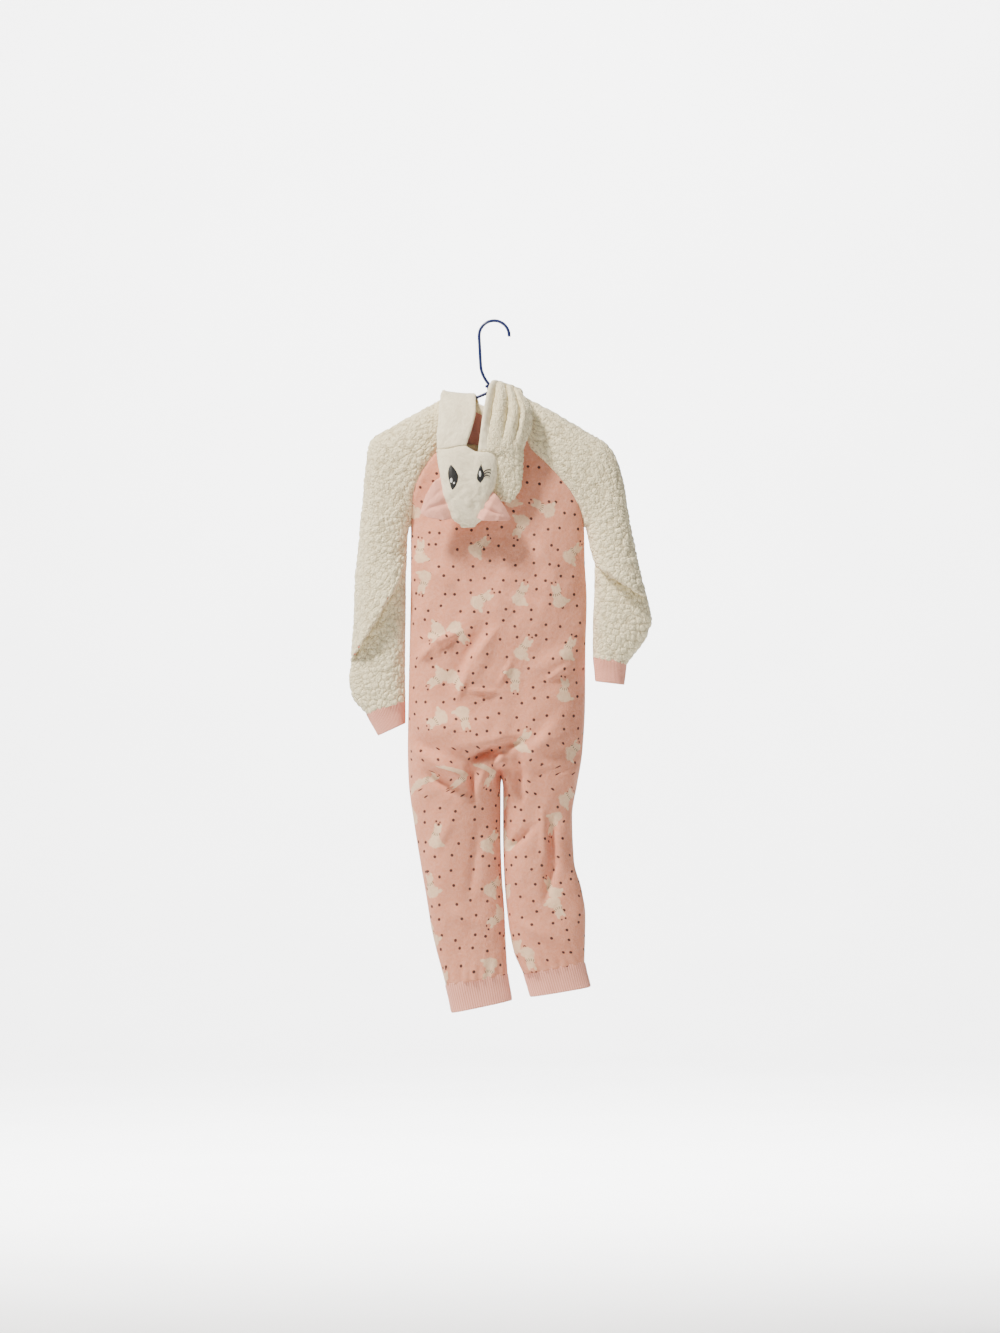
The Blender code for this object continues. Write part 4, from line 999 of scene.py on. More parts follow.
# Spacing of the animals, how far each may turn, and the share of them that stays upright
ANIMAL_PITCH = 72.0
ANIMAL_SWAY = 1.1
UPRIGHT_SHARE = 0.62
# Rounded shapes that make the animal: middle x, y, half width, half height
ANIMAL_SHAPE = (
    (0.0, -10.0, 11.5, 8.5),
    (-1.0, -1.0, 7.0, 8.0),
    (1.5, 8.5, 6.8, 5.6),
    (-3.2, 14.0, 2.2, 3.6),
    (5.6, 13.6, 2.2, 3.6),
    (11.0, -12.5, 5.5, 2.6),
)
DASH_CENTRE = 12.0
DASH_RADIUS = 11.0
DASH_ANGLE = 0.27
ANIMAL_SPOTS = (
    (-2.6, 20.5, 1.7),
    (3.4, 19.6, 1.4),
)
DOT_PITCH = 23.0
DOT_RADIUS = 2.25
# How far the front's print is shifted from the back's
PRINT_SHIFT = 400.0


def sherpa_look(name, light, deep, curl):
    """Curled pile: pale clumps, grooves darkened with painted shade, and fine curls over both."""
    look = Looks(name, Roughness=0.96)
    look.sheen(0.35, 0.6, (1.0, 0.98, 0.90, 1.0))
    grain = look.noise(0.02, 3.0)
    lift = look.math("ADD", look.pile(), look.spread(look.noise(0.0028, 3.0), 0.3, 0.7, -0.22, 0.18))
    # The colour turns to the darker one where the pile is low: painted shade in the grooves between the
    # clumps
    colour = look.mix(look.step(lift, -0.05, 0.42), deep, light)
    colour = look.mix(look.spread(grain, 0.35, 0.7, 0.0, 0.28), colour, tuple(0.82 * c for c in light))
    loops = look.cells(curl * MM)
    fine = look.bump(look.noise(0.0011, 4.0), 0.0006)
    normal = look.bump(loops.outputs["Distance"], -0.0016, fine)
    return look.finish(colour, normal)


def plush_look(name, light, shade, size=0.008):
    """Short smooth plush with a little mottling where the pile is brushed both ways, and painted shade where
    the pile is low.
    """
    look = Looks(name, Roughness=0.93)
    look.sheen(0.4, 0.45)
    brushed = look.noise(size, 3.0)
    broad = look.noise(0.03, 2.0)
    colour = look.mix(look.spread(brushed, 0.35, 0.68, 0.0, 0.35), light, shade)
    # Darker where the pile is low: painted shade in the grooves between the nubs
    colour = look.mix(look.math("MULTIPLY", look.step(look.pile(), 0.5, 0.0), 0.4), colour, shade)
    colour = look.mix(look.spread(broad, 0.35, 0.7, 0.0, 0.25), colour, shade)
    fine = look.bump(look.noise(0.0014, 3.0), 0.0005)
    normal = look.bump(brushed, 0.0016, fine)
    return look.finish(colour, normal)


def rib_look():
    """Rib knit: lighter wales, furrows darkened with painted shade, and small stitches along them."""
    look = Looks("rib knit pink", Roughness=0.88)
    look.sheen(0.2)
    # Darker where the wale is low: painted shade in the furrows between the ribs
    colour = look.mix(look.pile(), (0.70, 0.26, 0.18), (0.96, 0.46, 0.34))
    colour = look.mix(look.spread(look.noise(0.02, 2.0), 0.35, 0.7, 0.0, 0.2), colour, (0.80, 0.36, 0.26))
    wave = look.node("ShaderNodeTexWave", bands_direction="Y")
    wave.inputs["Scale"].default_value = 140.0
    wave.inputs["Distortion"].default_value = 1.2
    look.put(look.place(), wave.inputs["Vector"])
    fine = look.bump(wave.outputs["Fac"], 0.00025)
    normal = look.bump(look.noise(0.0012, 2.0), 0.0003, fine)
    return look.finish(colour, normal)


def thread_look(name, colour, lighter):
    """Satin-stitched thread with painted sheen and shade along its rows: stripes lighter on the black and
    pink thread and darker on the white.
    """
    look = Looks(name, Roughness=0.48)
    look.sheen(0.15)
    wave = look.node("ShaderNodeTexWave", bands_direction="DIAGONAL")
    wave.inputs["Scale"].default_value = 260.0
    wave.inputs["Distortion"].default_value = 0.6
    look.put(look.rest(), wave.inputs["Vector"])
    # The stripes' second colour is painted sheen where it is lighter and painted shade where it is darker
    mixed = look.mix(look.spread(wave.outputs["Fac"], 0.0, 1.0, 0.0, 0.5), colour, lighter)
    return look.finish(mixed, look.bump(wave.outputs["Fac"], 0.00016))


def tape_look():
    """Woven tape of the zip."""
    look = Looks("zip tape woven", Roughness=0.85)
    weave = look.node("ShaderNodeTexChecker")
    weave.inputs["Scale"].default_value = 1400.0
    look.put(look.rest(), weave.inputs["Vector"])
    colour = look.mix(weave.outputs["Fac"], (0.70, 0.38, 0.33), (0.80, 0.47, 0.41))
    return look.finish(colour, look.bump(weave.outputs["Fac"], 0.0002))


def wire_look():
    """Dark blue plastic coating, slightly scuffed."""
    look = Looks("wire coating", Roughness=0.34)
    look.shader.inputs["Coat Weight"].default_value = 0.25
    look.shader.inputs["Coat Roughness"].default_value = 0.2
    scuff = look.noise(0.006, 4.0)
    colour = look.mix(look.step(scuff, 0.60, 0.78), (0.006, 0.013, 0.085), (0.02, 0.032, 0.15))
    return look.finish(colour, look.bump(scuff, 0.0001), look.spread(scuff, 0.3, 0.8, 0.28, 0.5))


def metal_look():
    """Satin nickel with fine brush marks."""
    look = Looks("zip nickel", Metallic=1.0, Roughness=0.3)
    marks = look.noise(0.0012, 4.0)
    colour = look.mix(look.spread(marks, 0.3, 0.7, 0.0, 1.0), (0.55, 0.55, 0.57), (0.74, 0.74, 0.76))
    return look.finish(colour, look.bump(marks, 0.00004), look.spread(marks, 0.3, 0.7, 0.22, 0.42))


def teeth_look():
    """Moulded plastic teeth."""
    look = Looks("zip teeth pink", Roughness=0.42)
    speck = look.noise(0.003, 2.0)
    colour = look.mix(look.spread(speck, 0.3, 0.7, 0.0, 1.0), (0.74, 0.40, 0.36), (0.80, 0.46, 0.41))
    return look.finish(colour, look.bump(speck, 0.00003))


def backdrop_look():
    """Plain pale studio sweep."""
    look = Looks("pale sweep", Roughness=0.9)
    speck = look.noise(0.4, 2.0)
    colour = look.mix(look.spread(speck, 0.3, 0.7, 0.0, 1.0), (0.90, 0.90, 0.90), (0.93, 0.93, 0.93))
    return look.finish(colour)


def added(name, data):
    """A new object of the scene that holds this data."""
    made = bpy.data.objects.new(name, data)
    bpy.context.scene.collection.objects.link(made)
    return made


def build_mesh(name, grids, finishes, loop=False, wall=0.0, inner=0, weld=False, pick=None):
    """A cloth piece from fine grids, each with its layout and pile height, with a Solidify wall."""
    points, faces, corners, heights, finish_of = [], [], [], [], []
    base = 0
    for grid, u, v, pile in grids:
        rows, columns = grid.shape[:2]
        index = base + np.arange(rows * columns).reshape(rows, columns)
        layout = np.stack([u, v], axis=-1) * MM
        if loop:
            index = np.concatenate([index, index[:, :1]], axis=1)
            step = np.linalg.norm(grid[:, 0] - grid[:, -1], axis=-1)
            closing = np.stack([u[:, -1] + step, v[:, -1]], axis=-1)[:, None] * MM
            layout = np.concatenate([layout, closing], axis=1)
        order = ((slice(None, -1), slice(None, -1)), (slice(1, None), slice(None, -1)),
                 (slice(1, None), slice(1, None)), (slice(None, -1), slice(1, None)))
        faces.append(np.stack([index[s] for s in order], axis=-1).reshape(-1, 4))
        corners.append(np.stack([layout[s] for s in order], axis=-2).reshape(-1, 2))
        if pick is not None:
            finish_of.append(pick.ravel())
        points.append(grid.reshape(-1, 3) * MM)
        heights.append(np.broadcast_to(pile, grid.shape[:2]).ravel())
        base += rows * columns
    points, faces = np.concatenate(points), np.concatenate(faces)
    mesh = bpy.data.meshes.new(name)
    mesh.from_pydata(points, [], faces)
    layer = mesh.uv_layers.new(name="cloth")
    layer.data.foreach_set("uv", np.concatenate(corners).ravel())
    pile = mesh.attributes.new("pile", "FLOAT", "POINT")
    pile.data.foreach_set("value", np.concatenate(heights).astype(float))
    for finish in finishes:
        mesh.materials.append(finish)
    if finish_of:
        mesh.polygons.foreach_set("material_index", np.concatenate(finish_of).astype(np.int32))
    if weld:
        work = bmesh.new()
        work.from_mesh(mesh)
        bmesh.ops.remove_doubles(work, verts=work.verts, dist=0.02 * MM)
        bmesh.ops.recalc_face_normals(work, faces=work.faces)
        work.to_mesh(mesh)
        work.free()
    mesh.shade_smooth()
    mesh.update()
    made = added(name, mesh)
    if wall:
        thick = made.modifiers.new("cloth wall", "SOLIDIFY")
        thick.thickness = wall * MM
        thick.offset = 0.0
        thick.material_offset = inner
    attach(made, BODY)
    return made


def cut_of(grids):
    """Width, length and area of a flat cut in metres, from its smooth grids."""
    wide = long = area = 0.0
    for grid in grids:
        wide += np.linalg.norm(np.diff(grid, axis=1), axis=-1).sum(axis=1).max()
        long = max(long, np.linalg.norm(np.diff(grid, axis=0), axis=-1).sum(axis=0).max())
        one = np.cross(grid[1:, 1:] - grid[:-1, :-1], grid[1:, :-1] - grid[:-1, 1:])
        area += np.linalg.norm(one, axis=-1).sum() / 2
    wide, long, area = wide * MM, long * MM, area * MM * MM
    return (round(wide, 3), round(long, 3)), round(min(max(area, 0.301 * wide * long), wide * long), 4)


def declare(node, grids):
    """Hides the part's node that a cloth piece stands for, and works out the cut's size and area, which
    nothing keeps.
    """
    if node:
        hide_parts(node)
    flat, area = cut_of(grids)


def tube(name, route, radius, finish, sides=4, caps=True):
    """A round wire or thread along a route of points, in millimetres."""
    curve = bpy.data.curves.new(name, "CURVE")
    curve.dimensions = "3D"
    curve.bevel_depth = radius * MM
    curve.bevel_resolution = sides
    curve.use_fill_caps = caps
    spline = curve.splines.new("POLY")
    spline.points.add(len(route) - 1)
    for point, place in zip(spline.points, route):
        point.co = (*(np.array(place) * MM), 1.0)
    curve.materials.append(finish)
    made = added(name, curve)
    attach(made, BODY)
    return made


def blocks(name, places, size, finish):
    """Many small blocks with softened edges in one piece: each place is x y z and a lean in radians."""
    work = bmesh.new()
    for x, y, z, lean in places:
        made = bmesh.ops.create_cube(work, size=1.0)
        for vert in made["verts"]:
            a, b, c = (vert.co[i] * size[i] for i in range(3))
            shrink = 0.72 if vert.co[1] > 0 else 1.0
            a, c = a * shrink, c * shrink
            turned_x, turned_z = x + a * cos(lean) - c * sin(lean), z + a * sin(lean) + c * cos(lean)
            vert.co = (turned_x * MM, (y + b) * MM, turned_z * MM)
    mesh = bpy.data.meshes.new(name)
    work.to_mesh(mesh)
    work.free()
    mesh.materials.append(finish)
    made = added(name, mesh)
    soft = made.modifiers.new("soft edges", "BEVEL")
    soft.width = 0.12 * MM
    soft.segments = 1
    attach(made, BODY)
    return made


def main():
    fleece, fleece_inside = printed_fleece(), printed_fleece(False)
    sherpa = sherpa_look("sherpa sleeve", SHERPA, SHERPA_GROOVE_SHADE, 3.0)
    bag = sherpa_look("sherpa hood", SHERPA, tuple(1.25 * c for c in SHERPA_GROOVE_SHADE), 2.4)
    plush = plush_look("plush cream", (0.94, 0.84, 0.60), (0.70, 0.60, 0.40))
    ear_pink = plush_look("plush pink", (0.88, 0.41, 0.30), (0.68, 0.27, 0.19), 0.012)
    lining = plush_look("lining pink", (0.56, 0.245, 0.205), (0.42, 0.19, 0.155), 0.01)
    rib = rib_look()
    black = thread_look("thread black", (0.0025, 0.0022, 0.002), (0.006, 0.0055, 0.005))
    white = thread_look("thread white", (0.86, 0.86, 0.82), (0.66, 0.66, 0.62))

    halves = {(side, face): body_half(side, face) for side in (-1, 1) for face in (-1, 1)}
    done = {}
    for (side, face), (grid, levels) in halves.items():
        shaped = finish_half(grid, levels, side, face, 3.0 + face)
        u, _ = lay_out(grid)
        v = np.repeat(levels[:, None], grid.shape[1], axis=1)
        done[side, face] = (shaped, side * u + PRINT_SHIFT * (face + 1), v, 0.0)
    back = build_mesh("back_fleece", [done[-1, -1], done[1, -1]], [fleece, fleece_inside],
                      wall=FLEECE_SHOWN, inner=1, weld=True)
    declare("back",
            [halves[-1, -1][0], halves[1, -1][0]])
    for side, name in ((-1, "front_left"), (1, "front_right")):
        front = build_mesh(name + "_fleece", [done[side, 1]], [fleece, fleece_inside],
                           wall=FLEECE_SHOWN, inner=1, weld=True)
        declare(name,
                [halves[side, 1][0]])

    caps = []
    for side, name, table in ((-1, "sleeve_left", SLEEVE_LEFT), (1, "sleeve_right", SLEEVE_RIGHT)):
        grid, at = sleeve_rows(side, table)
        caps.append(grid)
        shaped = finish_sleeve(grid, at, side, 11.0 + side)
        made = build_mesh(name + "_sherpa", [shaped], [sherpa, fleece_inside],
                          wall=SHERPA_SHOWN, inner=1, weld=True)
        declare(name, [grid])

    rings = {"wrist_cuff_left": caps[0][-1][:-1], "wrist_cuff_right": caps[1][-1][:-1]}
    for side, name in ((-1, "ankle_cuff_left"), (1, "ankle_cuff_right")):
        near, far = halves[side, -1][0][-1], halves[side, 1][0][-1]
        rings[name] = np.concatenate([near, far[::-1][1:-1]])
    for name, ring in rings.items():
        grid, smooth_grid, u, v, pile = cuff_rows(ring, *CUFFS[name])
        made = build_mesh(name + "_rib", [(grid, u, v, pile)], [rib], loop=True)
        declare(name, [smooth_grid])

    fine_fronts = [halves[side, 1][0] for side in (-1, 1)]
    fine_backs = [halves[side, -1][0] for side in (-1, 1)]
    hood_neck = []
    for index, (side, table, near, far) in enumerate(((-1, HOOD_LEFT, 52, 40), (1, HOOD_RIGHT, 84, 40))):
        neck = neckline((fine_fronts[index], caps[index], fine_backs[index]), side, near + far)
        hood_neck.append(hood_rows(table, neck, side, near, far))
    build_flap(hood_neck[0], plush)
    build_bag(hood_neck[1], bag, plush)
    build_lining(lining)
    build_face(plush, black, white, ear_pink)
    tube("hanger_wire", smooth_route(), WIRE_RADIUS + COATING, wire_look(), sides=12)
    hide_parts("hanger")
    build_zip(fine_fronts)
    build_studio()


def cuff_rows(ring, inner_x, inner_z, outer_x, outer_z, depth_share):
    """A doubled rib cuff: its outer layer, the turned lower edge, and its inner layer a little way up."""
    ring = spaced(np.concatenate([ring, ring[:1]]), CUFF_COLUMNS + 1)[:-1]
    ends = sorted((ring[:, 0].min(), ring[:, 0].max()), key=lambda x: abs(x - inner_x))
    over = (ring[:, 0] - ends[0]) / (ends[1] - ends[0])
    low = np.stack([inner_x + (outer_x - inner_x) * over, ring[:, 1] * depth_share,
                    inner_z + (outer_z - inner_z) * over], axis=-1)
    fall = np.linalg.norm(low - ring, axis=1).mean()
    down = np.concatenate([[-CUFF_TUCK / fall, CUFF_SEAM / fall], np.linspace(0.03, 1.0, 26)])
    rows = []
    for share in down:
        row = ring + (low - ring) * share
        row[:, 1] *= 1 - CUFF_WAIST * sin(pi * share)
        rows.append(row)
    rows = np.array(rows)
    u, v = lay_out(rows)
    outward = out_of(rows, True, (0, -1, 0))
    wale = 0.5 + 0.5 * np.cos(2 * pi * np.arange(CUFF_COLUMNS) / RIB_COLUMNS)[None, :]
    pile = np.repeat(wale, len(rows), axis=0)
    ease = 1.2 * rough(u, v, 26.0, 5.0) * np.clip(np.sin(pi * down), 0.0, 1.0)[:, None] ** 0.5
    half = RIB_WALL / 2
    outer = rows + outward * (half - 0.15 + RIB_HEIGHT * pile + ease)[:, :, None]
    outer[0] = rows[0]
    inner = (rows - outward * (half - ease)[:, :, None])[::-1][:18]
    edge, step = rows[-1], (rows[-1] - rows[-2]) / np.linalg.norm(rows[-1] - rows[-2], axis=1)[:, None]
    turned = []
    for angle in np.linspace(0.0, pi, 7)[1:-1]:
        out = half * cos(angle) + ease[-1][:, None]
        turned.append(edge + outward[-1] * out + step * half * sin(angle) * 1.3)
    grid = np.concatenate([outer, turned, inner])
    u_full, v_full = lay_out(grid)
    full = np.concatenate([pile, np.repeat(wale * 0.8, 5, axis=0), np.repeat(wale, len(inner), axis=0)])
    doubled = np.concatenate([rows, rows[::-1][1:19]])
    closed = np.concatenate([doubled, doubled[:, :1]], axis=1)
    return grid, closed, u_full, v_full, full


CUFF_COLUMNS = 384
CUFF_TUCK = 3.0
RIB_COLUMNS = 6
RIB_HEIGHT = 0.5


def build_flap(left, plush):
    """The hood's left side panel: flat plush with a stitched seam."""
    u, v = lay_out(left)
    outward = out_of(left, False, (0, -1, 0))
    pitch, height = PLUSH_DOWN
    down = nubs(left, pitch, 21.0)
    seam = fold_height(left[:, :, 0], left[:, :, 2], FLAP_SEAM)
    edge = 1 - np.exp(-((u / 3.0) ** 2))
    roll = HEM_ROLL * (np.exp(-((u / HEM_ROLL) ** 2)) + 0.6 * np.exp(-(((v[-1:] - v) / HEM_ROLL) ** 2)))
    waves = 1.4 * rough(u, v, 30.0, 8.0) + 0.5 * rough(u, v, 11.0, 9.0)
    shaped = left + outward * (height * (down - 0.5) + waves * edge - seam - roll)[:, :, None]
    made = build_mesh("hood_left_plush", [(shaped, u, v, down)], [plush], wall=PLUSH_WALL, weld=True)
    declare("hood_left", [left])


def build_bag(right, bag, plush):
    """The hood's right side panel: pleated sherpa with a plush ridge beside the face opening."""
    u, v = lay_out(right)
    outward = out_of(right, False, (0, -1, 0))
    pitch, height = HOOD_NUBS
    curls = nubs(right, pitch, 31.0)
    lower_half = (np.arange(len(right)) > len(right) // 2)[:, None]
    below = np.clip((FACE_TOP_Z + 8.0 - right[:, :, 2]) / 8.0, 0.0, 1.0) * lower_half
    held = np.maximum(np.clip((u - RIDGE_WIDTH) / 4.0, 0.0, 1.0), below)
    soft = 0.4 * rough(u, v, 6.0, 33.0) * (1 - held)
    roll = HEM_ROLL * np.exp(-((u / HEM_ROLL) ** 2))
    rise = height * (curls - 0.45) * held + soft - roll + rough(u, v, 30.0, 9.0) * held
    shaped = right + outward * rise[:, :, None]
    beside = np.clip((FACE_TOP_Z - right[:, :1, 2:]) / 3.0, 0.0, 1.0) * lower_half[:, :, None]
    under = [shaped[:, :1] + beside * np.array(TUCK) * share for share in (1.0, 0.6)]
    shaped = np.concatenate([*under, shaped], axis=1)
    u = np.concatenate([u[:, :1] - 3.0, u[:, :1] - 1.5, u], axis=1)
    v = np.concatenate([v[:, :2], v], axis=1)
    curls = np.concatenate([curls[:, :1], curls[:, :1], curls], axis=1)
    ridge = np.concatenate([held[:, :1], held[:, :1], held], axis=1)[:-1, :-1] < 0.5
    made = build_mesh("hood_right_sherpa", [(shaped, u, v, curls)], [bag, plush], wall=PLUSH_WALL, weld=True,
                      pick=ridge.astype(int))
    declare("hood_right",
            [right])


def build_lining(lining):
    """The lining that shows between the two side panels."""
    rows = []
    first = 1 + round(LINING_FROM * FAR_FINE)
    for row in np.linspace(*LINING_ROWS, 50):
        left_row, right_row = (hood_row(table, row, 1, FAR_FINE)[first:] for table in (HOOD_LEFT, HOOD_RIGHT))
        middle = (left_row[-1:] + right_row[-1:]) / 2
        rows.append(np.concatenate([left_row[:-1], middle, right_row[:-1][::-1]]))
    grid = np.array(rows)
    grid[:, :, 1] -= (PLUSH_WALL + LINING_WALL) / 2 + SEAM_GAP
    u, v = lay_out(grid)
    grid[:, :, 1] -= 0.8 + 0.8 * rough(u, v, 14.0, 41.0)
    made = build_mesh("hood_lining_fleece", [(grid, u, v, 0.5)], [lining], wall=LINING_WALL, weld=True)
    declare("hood_lining", [grid])


# The stitched seam of the left side panel: start x, start z, end x, end z, half width, height
FLAP_SEAM = (
    (-78.0, -196.0, -67.5, -178.0, 2.2, 1.0),
    (-67.5, -178.0, -51.0, -166.0, 2.2, 1.0),
)
# Columns of the hood's far half, and the share of them that the lining leaves out
FAR_FINE = 46
LINING_FROM = 0.45
RIDGE_WIDTH = 9.0
HEM_ROLL = 1.5
FACE_TOP_Z = -197.0
TUCK = (-4.5, 1.0, 0.0)


def build_face(plush, black, white, ear_pink):
    """The face panel with its embroidery and its two ears."""
    grid = ring_rows()
    up = grid[0] - grid[1]
    up /= np.linalg.norm(up, axis=1)[:, None]
    inward = np.sign(grid[0, :, 1].mean() - grid[0, :, 1])[:, None] * np.array([0.0, 1.0, 0.0])
    turned = [grid[0] + up * rise + inward * deep for rise, deep in RIM_ROLL]
    grid = np.concatenate([turned, grid])
    u, v = lay_out(grid)
    outward = out_of(grid, True, (0, -1, 0))
    pitch, height = PLUSH_DOWN
    fade = np.clip((len(grid) - 1 - np.arange(len(grid))) / 6.0, 0.0, 1.0)[:, None]
    down = nubs(grid, pitch, 51.0)
    creases = fold_height(grid[:, :, 0], grid[:, :, 2], FACE_CREASES) * (outward[:, :, 1] < 0)
    bumps = height * (down - 0.5) + 1.4 * rough(u, v, 24.0, 52.0) + 0.5 * rough(u, v, 9.0, 53.0)
    bumps = (bumps + creases) * fade
    shaped = grid + outward * bumps[:, :, None]
    face = build_mesh("hood_face_plush", [(shaped, u, v, down)], [plush],
                      loop=True, wall=PLUSH_WALL, weld=True)
    near = shaped[:, grid[0, :, 1] < grid[0, :, 1].mean()].reshape(-1, 3)

    def surface_y(x, z):
        far = (near[:, 0] - x) ** 2 + (near[:, 2] - z) ** 2
        close = np.argsort(far)[:6]
        weight = 1 / (far[close] + 0.05)
        return float((near[close, 1] * weight).sum() / weight.sum()) - PLUSH_WALL / 2

    for name, outline in EYES.items():
        patch(name, outline, surface_y, THREAD_RISE, black)
    for index, (x, z, wide, tall) in enumerate(GLINTS):
        outline = [(x + wide * cos(a), z + tall * sin(a)) for a in np.linspace(0, 2 * pi, 14, endpoint=False)]
        patch(f"glint_{index + 1}", outline, surface_y, THREAD_RISE * 1.5, white, 0.6)
    for index, points in enumerate(LASHES):
        line = spaced(np.array([(x, 0.0, z) for x, z in points]), 3)
        curve = [bezier(line, t) for t in np.linspace(0.0, 1.0, 14)]
        route = [(x, surface_y(x, z) - 0.35, z) for x, _, z in curve]
        tube(f"lash_{index + 1}", route, 0.75, black)
    closed = np.concatenate([grid, grid[:, :1]], axis=1)
    declare("hood_face", [closed])
    for index, (name, outline) in enumerate(EARS_SEEN.items()):
        grid = ear_rows(outline)
        u, v = lay_out(grid)
        outward = out_of(grid, False, (0, -1, 0))
        shaped = grid + outward * (0.35 * rough(u, v, 6.0, 61.0 + index))[:, :, None]
        made = build_mesh(name + "_plush", [(shaped, u, v, 0.5)], [ear_pink], wall=EAR_SHOWN, weld=True)
        declare(name, [grid])


# The face panel's rim, rolled up and in under its neighbours: rise, depth
RIM_ROLL = (
    (0.6, 3.6),
    (1.8, 2.6),
    (2.0, 1.2),
    (1.2, 0.2),
)
# Creases of the face panel and dimples round the eyes: start x, start z, end x, end z, half width, height
FACE_CREASES = (
    (-40.0, -250.0, -68.0, -276.0, 4.0, -1.8),
    (-30.0, -262.0, -22.0, -288.0, 4.5, -1.8),
    (-40.0, -282.0, -24.0, -262.0, 4.0, 1.6),
    (-34.0, -214.0, -36.0, -236.0, 9.0, -2.2),
    (-27.0, -240.0, -20.0, -258.0, 4.0, 1.4),
    (-66.0, -262.0, -52.0, -292.0, 5.0, 1.4),
)


def bezier(points, t):
    """A smooth curve through the middle of three points."""
    middle = 2 * points[1] - (points[0] + points[2]) / 2
    return (1 - t) ** 2 * points[0] + 2 * t * (1 - t) * middle + t**2 * points[2]


def patch(name, outline, surface_y, rise, finish, skirt=1.2):
    """A padded patch of stitches inside an outline, laid on the panel."""
    closed = np.array([*outline, outline[0]], float)
    closed = np.stack([closed[:, 0], 0 * closed[:, 0], closed[:, 1]], axis=-1)
    edge = spaced(closed, 61)[:-1]
    edge = (np.roll(edge, 1, axis=0) + 2 * edge + np.roll(edge, -1, axis=0)) / 4
    middle = edge.mean(axis=0)
    rows = []
    for share in (1.0, 0.97, 0.9, 0.78, 0.62, 0.44, 0.26, 0.08):
        ring = middle + (edge - middle) * share
        lift = rise * (1 - share**6) - skirt * (share == 1.0)
        rows.append([(x, surface_y(x, z) - lift, z) for x, _, z in ring])
    grid = np.array(rows)
    u, v = lay_out(grid)
    made = build_mesh(name, [(grid, u, v, 0.5)], [finish], loop=True)
    fill = bmesh.new()
    fill.from_mesh(made.data)
    rims = [e for e in fill.edges if e.is_boundary]
    bmesh.ops.holes_fill(fill, edges=rims, sides=0)
    bmesh.ops.recalc_face_normals(fill, faces=fill.faces)
    fill.to_mesh(made.data)
    fill.free()
    made.data.shade_smooth()
    return made


def smooth_route():
    """The hanger's route with its points drawn closer together."""
    route = spaced(np.array(hanger_route()), 420)
    for _ in range(40):
        eased = route.copy()
        eased[1:-1] = (route[:-2] + 2 * route[1:-1] + route[2:]) / 4
        share = np.exp(-(((route[:, 2:] - STEM_BEND[0]) / STEM_BEND[1]) ** 2))
        route = route + (eased - route) * share
    return route


def build_zip(fronts):
    """Teeth, edge stitching and better metal for the zip of the hidden front."""
    metal, teeth = metal_look(), teeth_look()
    thread = thread_look("thread pink", (0.72, 0.40, 0.35), (0.82, 0.50, 0.44))
    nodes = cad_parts
    for name, finish in (("zip_slider", metal), ("zip_pull", metal), ("zip_tape", tape_look())):
        nodes[name].material_slots[0].material = finish
    edge = (fronts[0][:, 0] + fronts[1][:, 0]) / 2
    below = FLEECE_WALL / 2 + TAPE_GAP
    places = []
    for index, z in enumerate(np.arange(SLIDER_Z + 6.0, ZIP_END_Z + 5.0, -TOOTH_PITCH)):
        x, y = (float(smooth(edge[:, 2], edge[:, i], z)) for i in (0, 1))
        over = TOOTH_SIZE[0] * 0.32 * (1 if index % 2 else -1)
        places.append((x + over, y - below + TOOTH_SIZE[1] / 2, z, 0.0))
    row = blocks("zip_teeth", places, TOOTH_SIZE, teeth)
    for side, grid in zip((-1, 1), fronts):
        line = []
        for i in range(len(grid)):
            if ZIP_END_Z + 4.0 < grid[i, 0, 2] < ZIP_TOP_Z:
                far = np.cumsum(np.linalg.norm(np.diff(grid[i], axis=0), axis=1))
                k = int(np.argmax(far > STITCH_INSET)) + 1
                line.append(grid[i, k] + [side * ZIP_HALF_GAP, FLEECE_WALL / 2 + 0.1, 0.0])
        line = spaced(np.array(line), STITCH_COUNT)
        places = [(*point, pi / 2 + 0.06 * side) for point in line]
        made = blocks("zip_stitches_left" if side < 0 else "zip_stitches_right", places, STITCH_SIZE, thread)


STEM_BEND = (-80.0, 9.0)
TOOTH_PITCH = 2.1
TOOTH_SIZE = (3.4, 1.3, 1.2)
STITCH_INSET = 5.0
STITCH_COUNT = 100
STITCH_SIZE = (2.9, 0.5, 0.6)


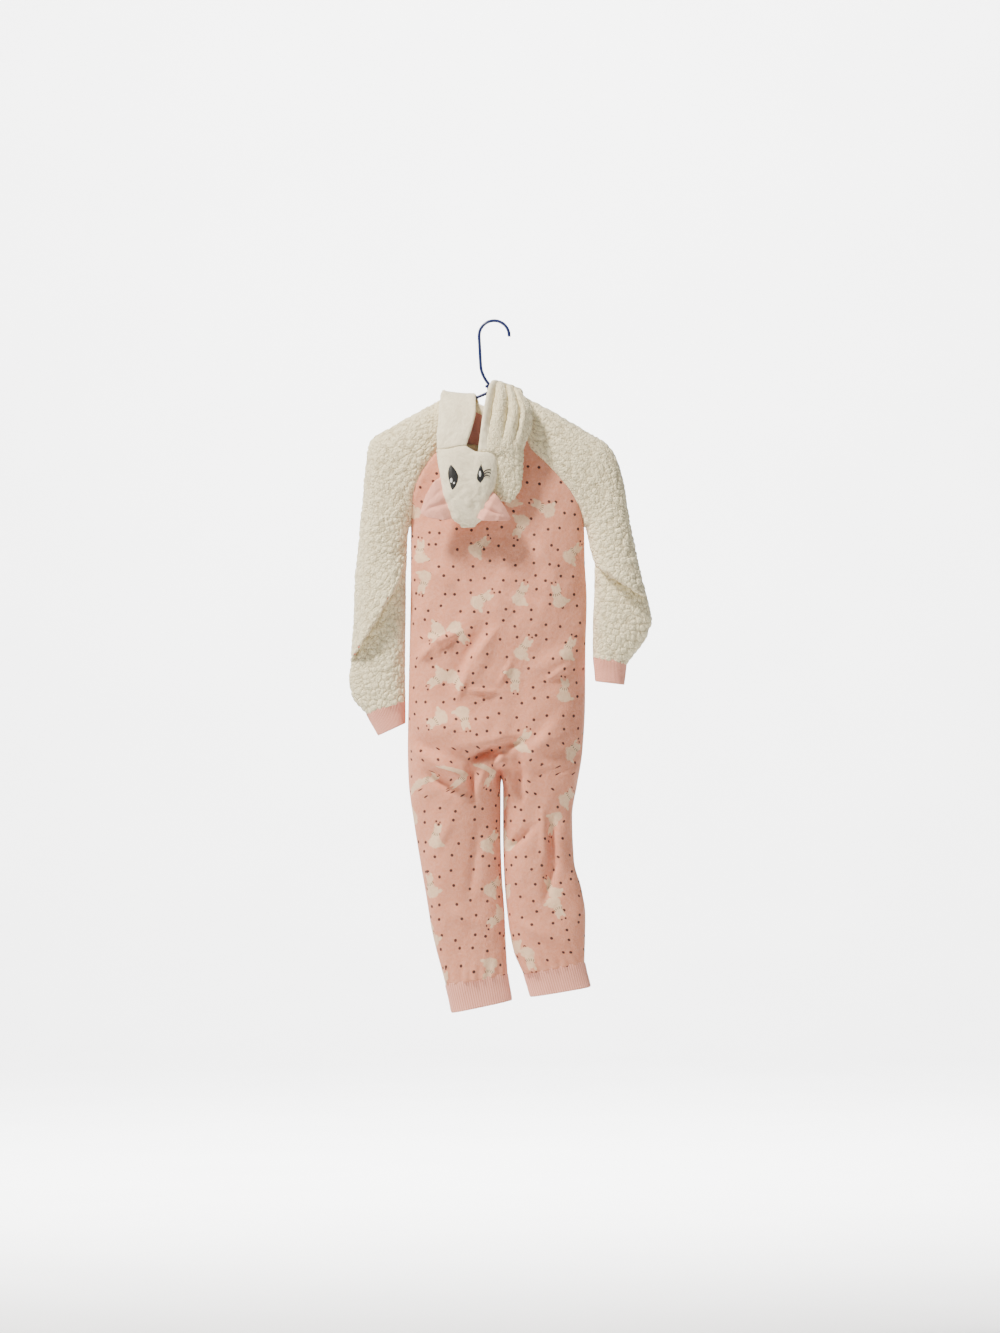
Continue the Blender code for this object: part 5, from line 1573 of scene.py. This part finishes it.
def build_studio():
    """Camera, soft lights and a pale sweep."""
    camera = bpy.data.cameras.new("camera")
    camera.lens = CAMERA_LENS
    camera.clip_end = 60.0
    eye = added("camera", camera)
    eye.location = (VIEW_CENTRE[0] * MM, -CAMERA_FAR, VIEW_CENTRE[1] * MM)
    eye.rotation_euler = (pi / 2, 0.0, 0.0)
    bpy.context.scene.camera = eye

    path = [(-9.6, FLOOR_Z), (0.0, FLOOR_Z)]
    for angle in np.linspace(0.0, pi / 2, 16):
        path.append((WALL_Y - SWEEP_RADIUS * (1 - sin(angle)), FLOOR_Z + SWEEP_RADIUS * (1 - cos(angle))))
    path.append((WALL_Y, 4.0))
    points = [(x, y, z) for y, z in path for x in (-9.0, 9.0)]
    faces = [(2 * i, 2 * i + 1, 2 * i + 3, 2 * i + 2) for i in range(len(path) - 1)]
    mesh = bpy.data.meshes.new("sweep")
    mesh.from_pydata(points, [], faces)
    mesh.materials.append(backdrop_look())
    mesh.shade_smooth()
    sweep = added("sweep", mesh)

    world = bpy.data.worlds.new("studio")
    world.use_nodes = True
    world.node_tree.nodes["Background"].inputs["Color"].default_value = (*WORLD_COLOUR, 1.0)
    world.node_tree.nodes["Background"].inputs["Strength"].default_value = WORLD_STRENGTH
    bpy.context.scene.world = world
    for name, place, size, power, colour in LIGHTS:
        lamp = bpy.data.lights.new(name, "AREA")
        lamp.size = size
        lamp.energy = power
        lamp.color = colour
        made = added(name, lamp)
        made.location = place
        aim = Vector(WALL_AIM if name == "wall" else (0.0, 0.0, -0.5)) - Vector(place)
        made.rotation_euler = aim.to_track_quat("-Z", "Y").to_euler()


# Camera and studio, in metres apart from the view's centre
VIEW_CENTRE = (12.0, -516.75)
CAMERA_FAR = 8.0
CAMERA_LENS = 144.0
FLOOR_Z = -1.62
WALL_Y = 8.5
SWEEP_RADIUS = 1.6
WORLD_COLOUR = (1.0, 1.0, 1.0)
WALL_AIM = (0.0, 8.5, 0.0)
WORLD_STRENGTH = 0.33
# Lamps: name, place, size, power, colour
LIGHTS = (
    ("key", (-2.0, -1.6, 2.9), 0.6, 430.0, (1.0, 0.95, 0.87)),
    ("fill", (2.6, -3.4, 0.0), 2.4, 12.0, (1.0, 0.97, 0.94)),
    ("back", (-1.6, 3.2, 1.6), 1.6, 170.0, (1.0, 1.0, 1.0)),
    ("wall", (0.0, 2.6, 2.9), 3.0, 2200.0, (1.0, 1.0, 1.0)),
)

main()
